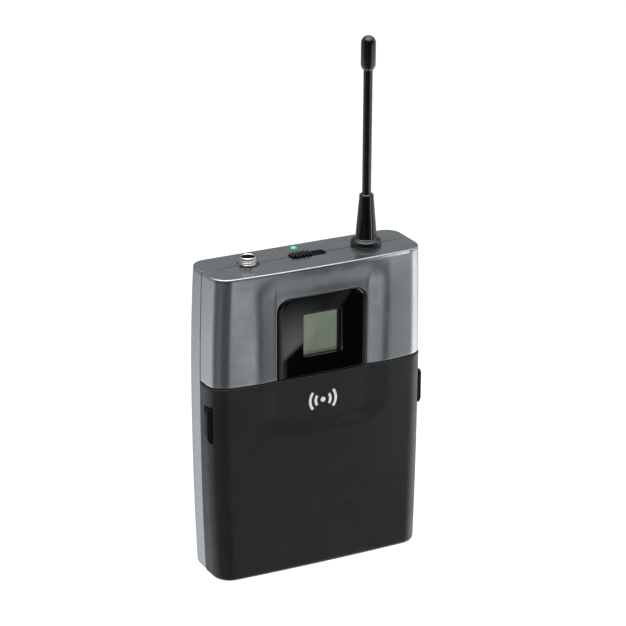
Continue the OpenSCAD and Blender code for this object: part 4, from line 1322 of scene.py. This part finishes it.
def add_softbox(name, position, aim, width, height, power):
    """A rectangular lamp that the camera doesn't see."""
    data = bpy.data.lights.new(name, "AREA")
    data.shape = "RECTANGLE"
    data.size = width
    data.size_y = height
    data.energy = power
    light = add_object(name, data)
    light.location = position
    light.rotation_euler = (Vector(aim) - Vector(position)).to_track_quat("-Z", "Y").to_euler()
    light.visible_camera = False


FLOOR_Z = -0.12
FLOOR_HALF = 4.0
WALL_R = 3.9
WALL_TOP = 3.0
WALL_SIDES = 64


def add_stage(name, points, faces, material):
    """A piece of the set, in no piece of the object."""
    mesh = bpy.data.meshes.new(name)
    mesh.from_pydata(points, [], faces)
    mesh.materials.append(material)
    item = add_object(name, mesh)
    item.visible_glossy = False
    return item


def add_floor():
    """A plain pale floor, low enough for the cover to open above it and for the shadow to stay faint."""
    material = new_surface("pale_floor", (0.9, 0.9, 0.9), 0.9, Specular_IOR_Level=0.1)
    mottle(material, grain(material, 300.0), (0.895, 0.895, 0.895), (0.905, 0.905, 0.905))
    corners = [(-1, -1), (1, -1), (1, 1), (-1, 1)]
    points = [(x * FLOOR_HALF, y * FLOOR_HALF, FLOOR_Z) for x, y in corners]
    add_stage("floor", points, [[0, 1, 2, 3]], material)


def add_backdrop():
    """A pale wall far round the object, seen by the camera only, so that it changes no light."""
    material = new_surface("pale_wall", (0, 0, 0), 1.0, Emission_Strength=1.0, Specular_IOR_Level=0.0)
    mottle(material, grain(material, 900.0), (0.895, 0.912, 0.928), (0.9, 0.917, 0.933), "Emission Color")
    points = [(x, y, z) for z in (FLOOR_Z, WALL_TOP) for x, y in circle(0, 0, WALL_R, WALL_SIDES)]
    faces = []
    for i in range(WALL_SIDES):
        j = (i + 1) % WALL_SIDES
        faces.append((i, j, j + WALL_SIDES, i + WALL_SIDES))
    wall = add_stage("wall", points, faces, material)
    wall.visible_diffuse = False
    wall.visible_transmission = False
    wall.visible_shadow = False


# Brightness round the object, by degrees from the front towards the right.
ROUND_LIGHT = [(-180, 0.5), (-142, 0.75), (-108, 0.85), (-80, 0.12), (-55, 0.2), (-28, 0.08), (4, 0.08),
               (12, 0.42), (19, 0.85), (27, 0.75), (40, 0.36), (50, 0.4), (70, 1.8), (98, 1.45), (135, 0.5),
               (180, 0.5)]
LOW_LIGHT = 1.3
HIGH_LIGHT = 0.5
LOW_TO_HIGH = (-23, -14)
CEILING = 1.8
CEILING_EDGE = (0.5, 0.9)

# A card with a slanting edge, which the window mirrors. Its places are in degrees.
CARD_TURN = 20
CARD_RISE = -21.7
CARD_SLOPE = 0.244
CARD_LEFT = (19.5, 21.5)
CARD_RIGHT = (38.5, 35)
CARD_EDGE = (-0.1, 0.15)
CARD_FADE = (0.1, 2.2)
CARD_DIM_FROM = (22.5, 28)
CARD_FOOT = (-34, -28)
CARD_DARK = 0.02
CARD_DIM = 0.15
CARD_BRIGHT = 2.0
BELOW_CARD = 0.3


def studio_world():
    """Soft light from all round: brightness by compass direction, a bright ceiling and one card's edge."""
    world = bpy.data.worlds.new("studio")
    world.use_nodes = True
    background = world.node_tree.nodes["Background"]
    where = add_node(world, "ShaderNodeTexCoord").outputs["Generated"]
    towards = add_node(world, "ShaderNodeSeparateXYZ", Vector=where).outputs

    def plus(a, b):
        return calculate(world, "ADD", a, b)

    def minus(a, b):
        return calculate(world, "SUBTRACT", a, b)

    def times(a, b):
        return calculate(world, "MULTIPLY", a, b)

    def step_up(value, start, end):
        return ramp(world, value, 0, 1, start, end, interpolation_type="SMOOTHSTEP")

    def mixed(share, low, high):
        """low where share is 0, high where it is 1"""
        return plus(low, times(share, minus(high, low)))

    turn = calculate(world, "ARCTAN2", towards["X"], times(towards["Y"], -1))
    turn = times(turn, 180 / math.pi)
    rise = times(calculate(world, "ARCSINE", towards["Z"]), 180 / math.pi)
    level = ROUND_LIGHT[0][1]
    for (a, level_a), (b, level_b) in zip(ROUND_LIGHT, ROUND_LIGHT[1:]):
        level = plus(level, times(step_up(turn, a, b), level_b - level_a))
    level = times(level, mixed(step_up(rise, *LOW_TO_HIGH), LOW_LIGHT, HIGH_LIGHT))
    edge = plus(times(minus(turn, CARD_TURN), CARD_SLOPE), CARD_RISE)
    above = minus(rise, edge)
    bright = mixed(step_up(above, *CARD_FADE), CARD_BRIGHT, 0)
    bright = times(bright, mixed(step_up(turn, *CARD_DIM_FROM), 1, CARD_DIM))
    card = mixed(step_up(above, *CARD_EDGE), CARD_DARK, bright)
    card = mixed(step_up(rise, *CARD_FOOT), BELOW_CARD, card)
    near = times(step_up(turn, *CARD_LEFT), step_up(turn, *CARD_RIGHT))
    level = mixed(near, level, card)
    level = mixed(step_up(towards["Z"], *CEILING_EDGE), level, CEILING)
    set_input(world, background.inputs["Strength"], level)
    set_input(world, background.inputs["Color"], (0.96, 0.98, 1.0, 1))
    return world


def add_light():
    """Standard view, the world's light, a large lamp above and a narrow one beside the antenna."""
    scene = bpy.context.scene
    scene.view_settings.view_transform = "Standard"
    scene.world = studio_world()
    add_softbox("top_softbox", (-0.1, -0.05, 1.2), (0.0, 0.0, 0), 1.3, 1.3, 7.0)
    add_softbox("strip_light", (0.1067, -0.121, 0.082), (ANTENNA_X * MM, 0, 0.125), 0.016, 0.07, 0.014)


add_camera()
add_light()
add_floor()
add_backdrop()
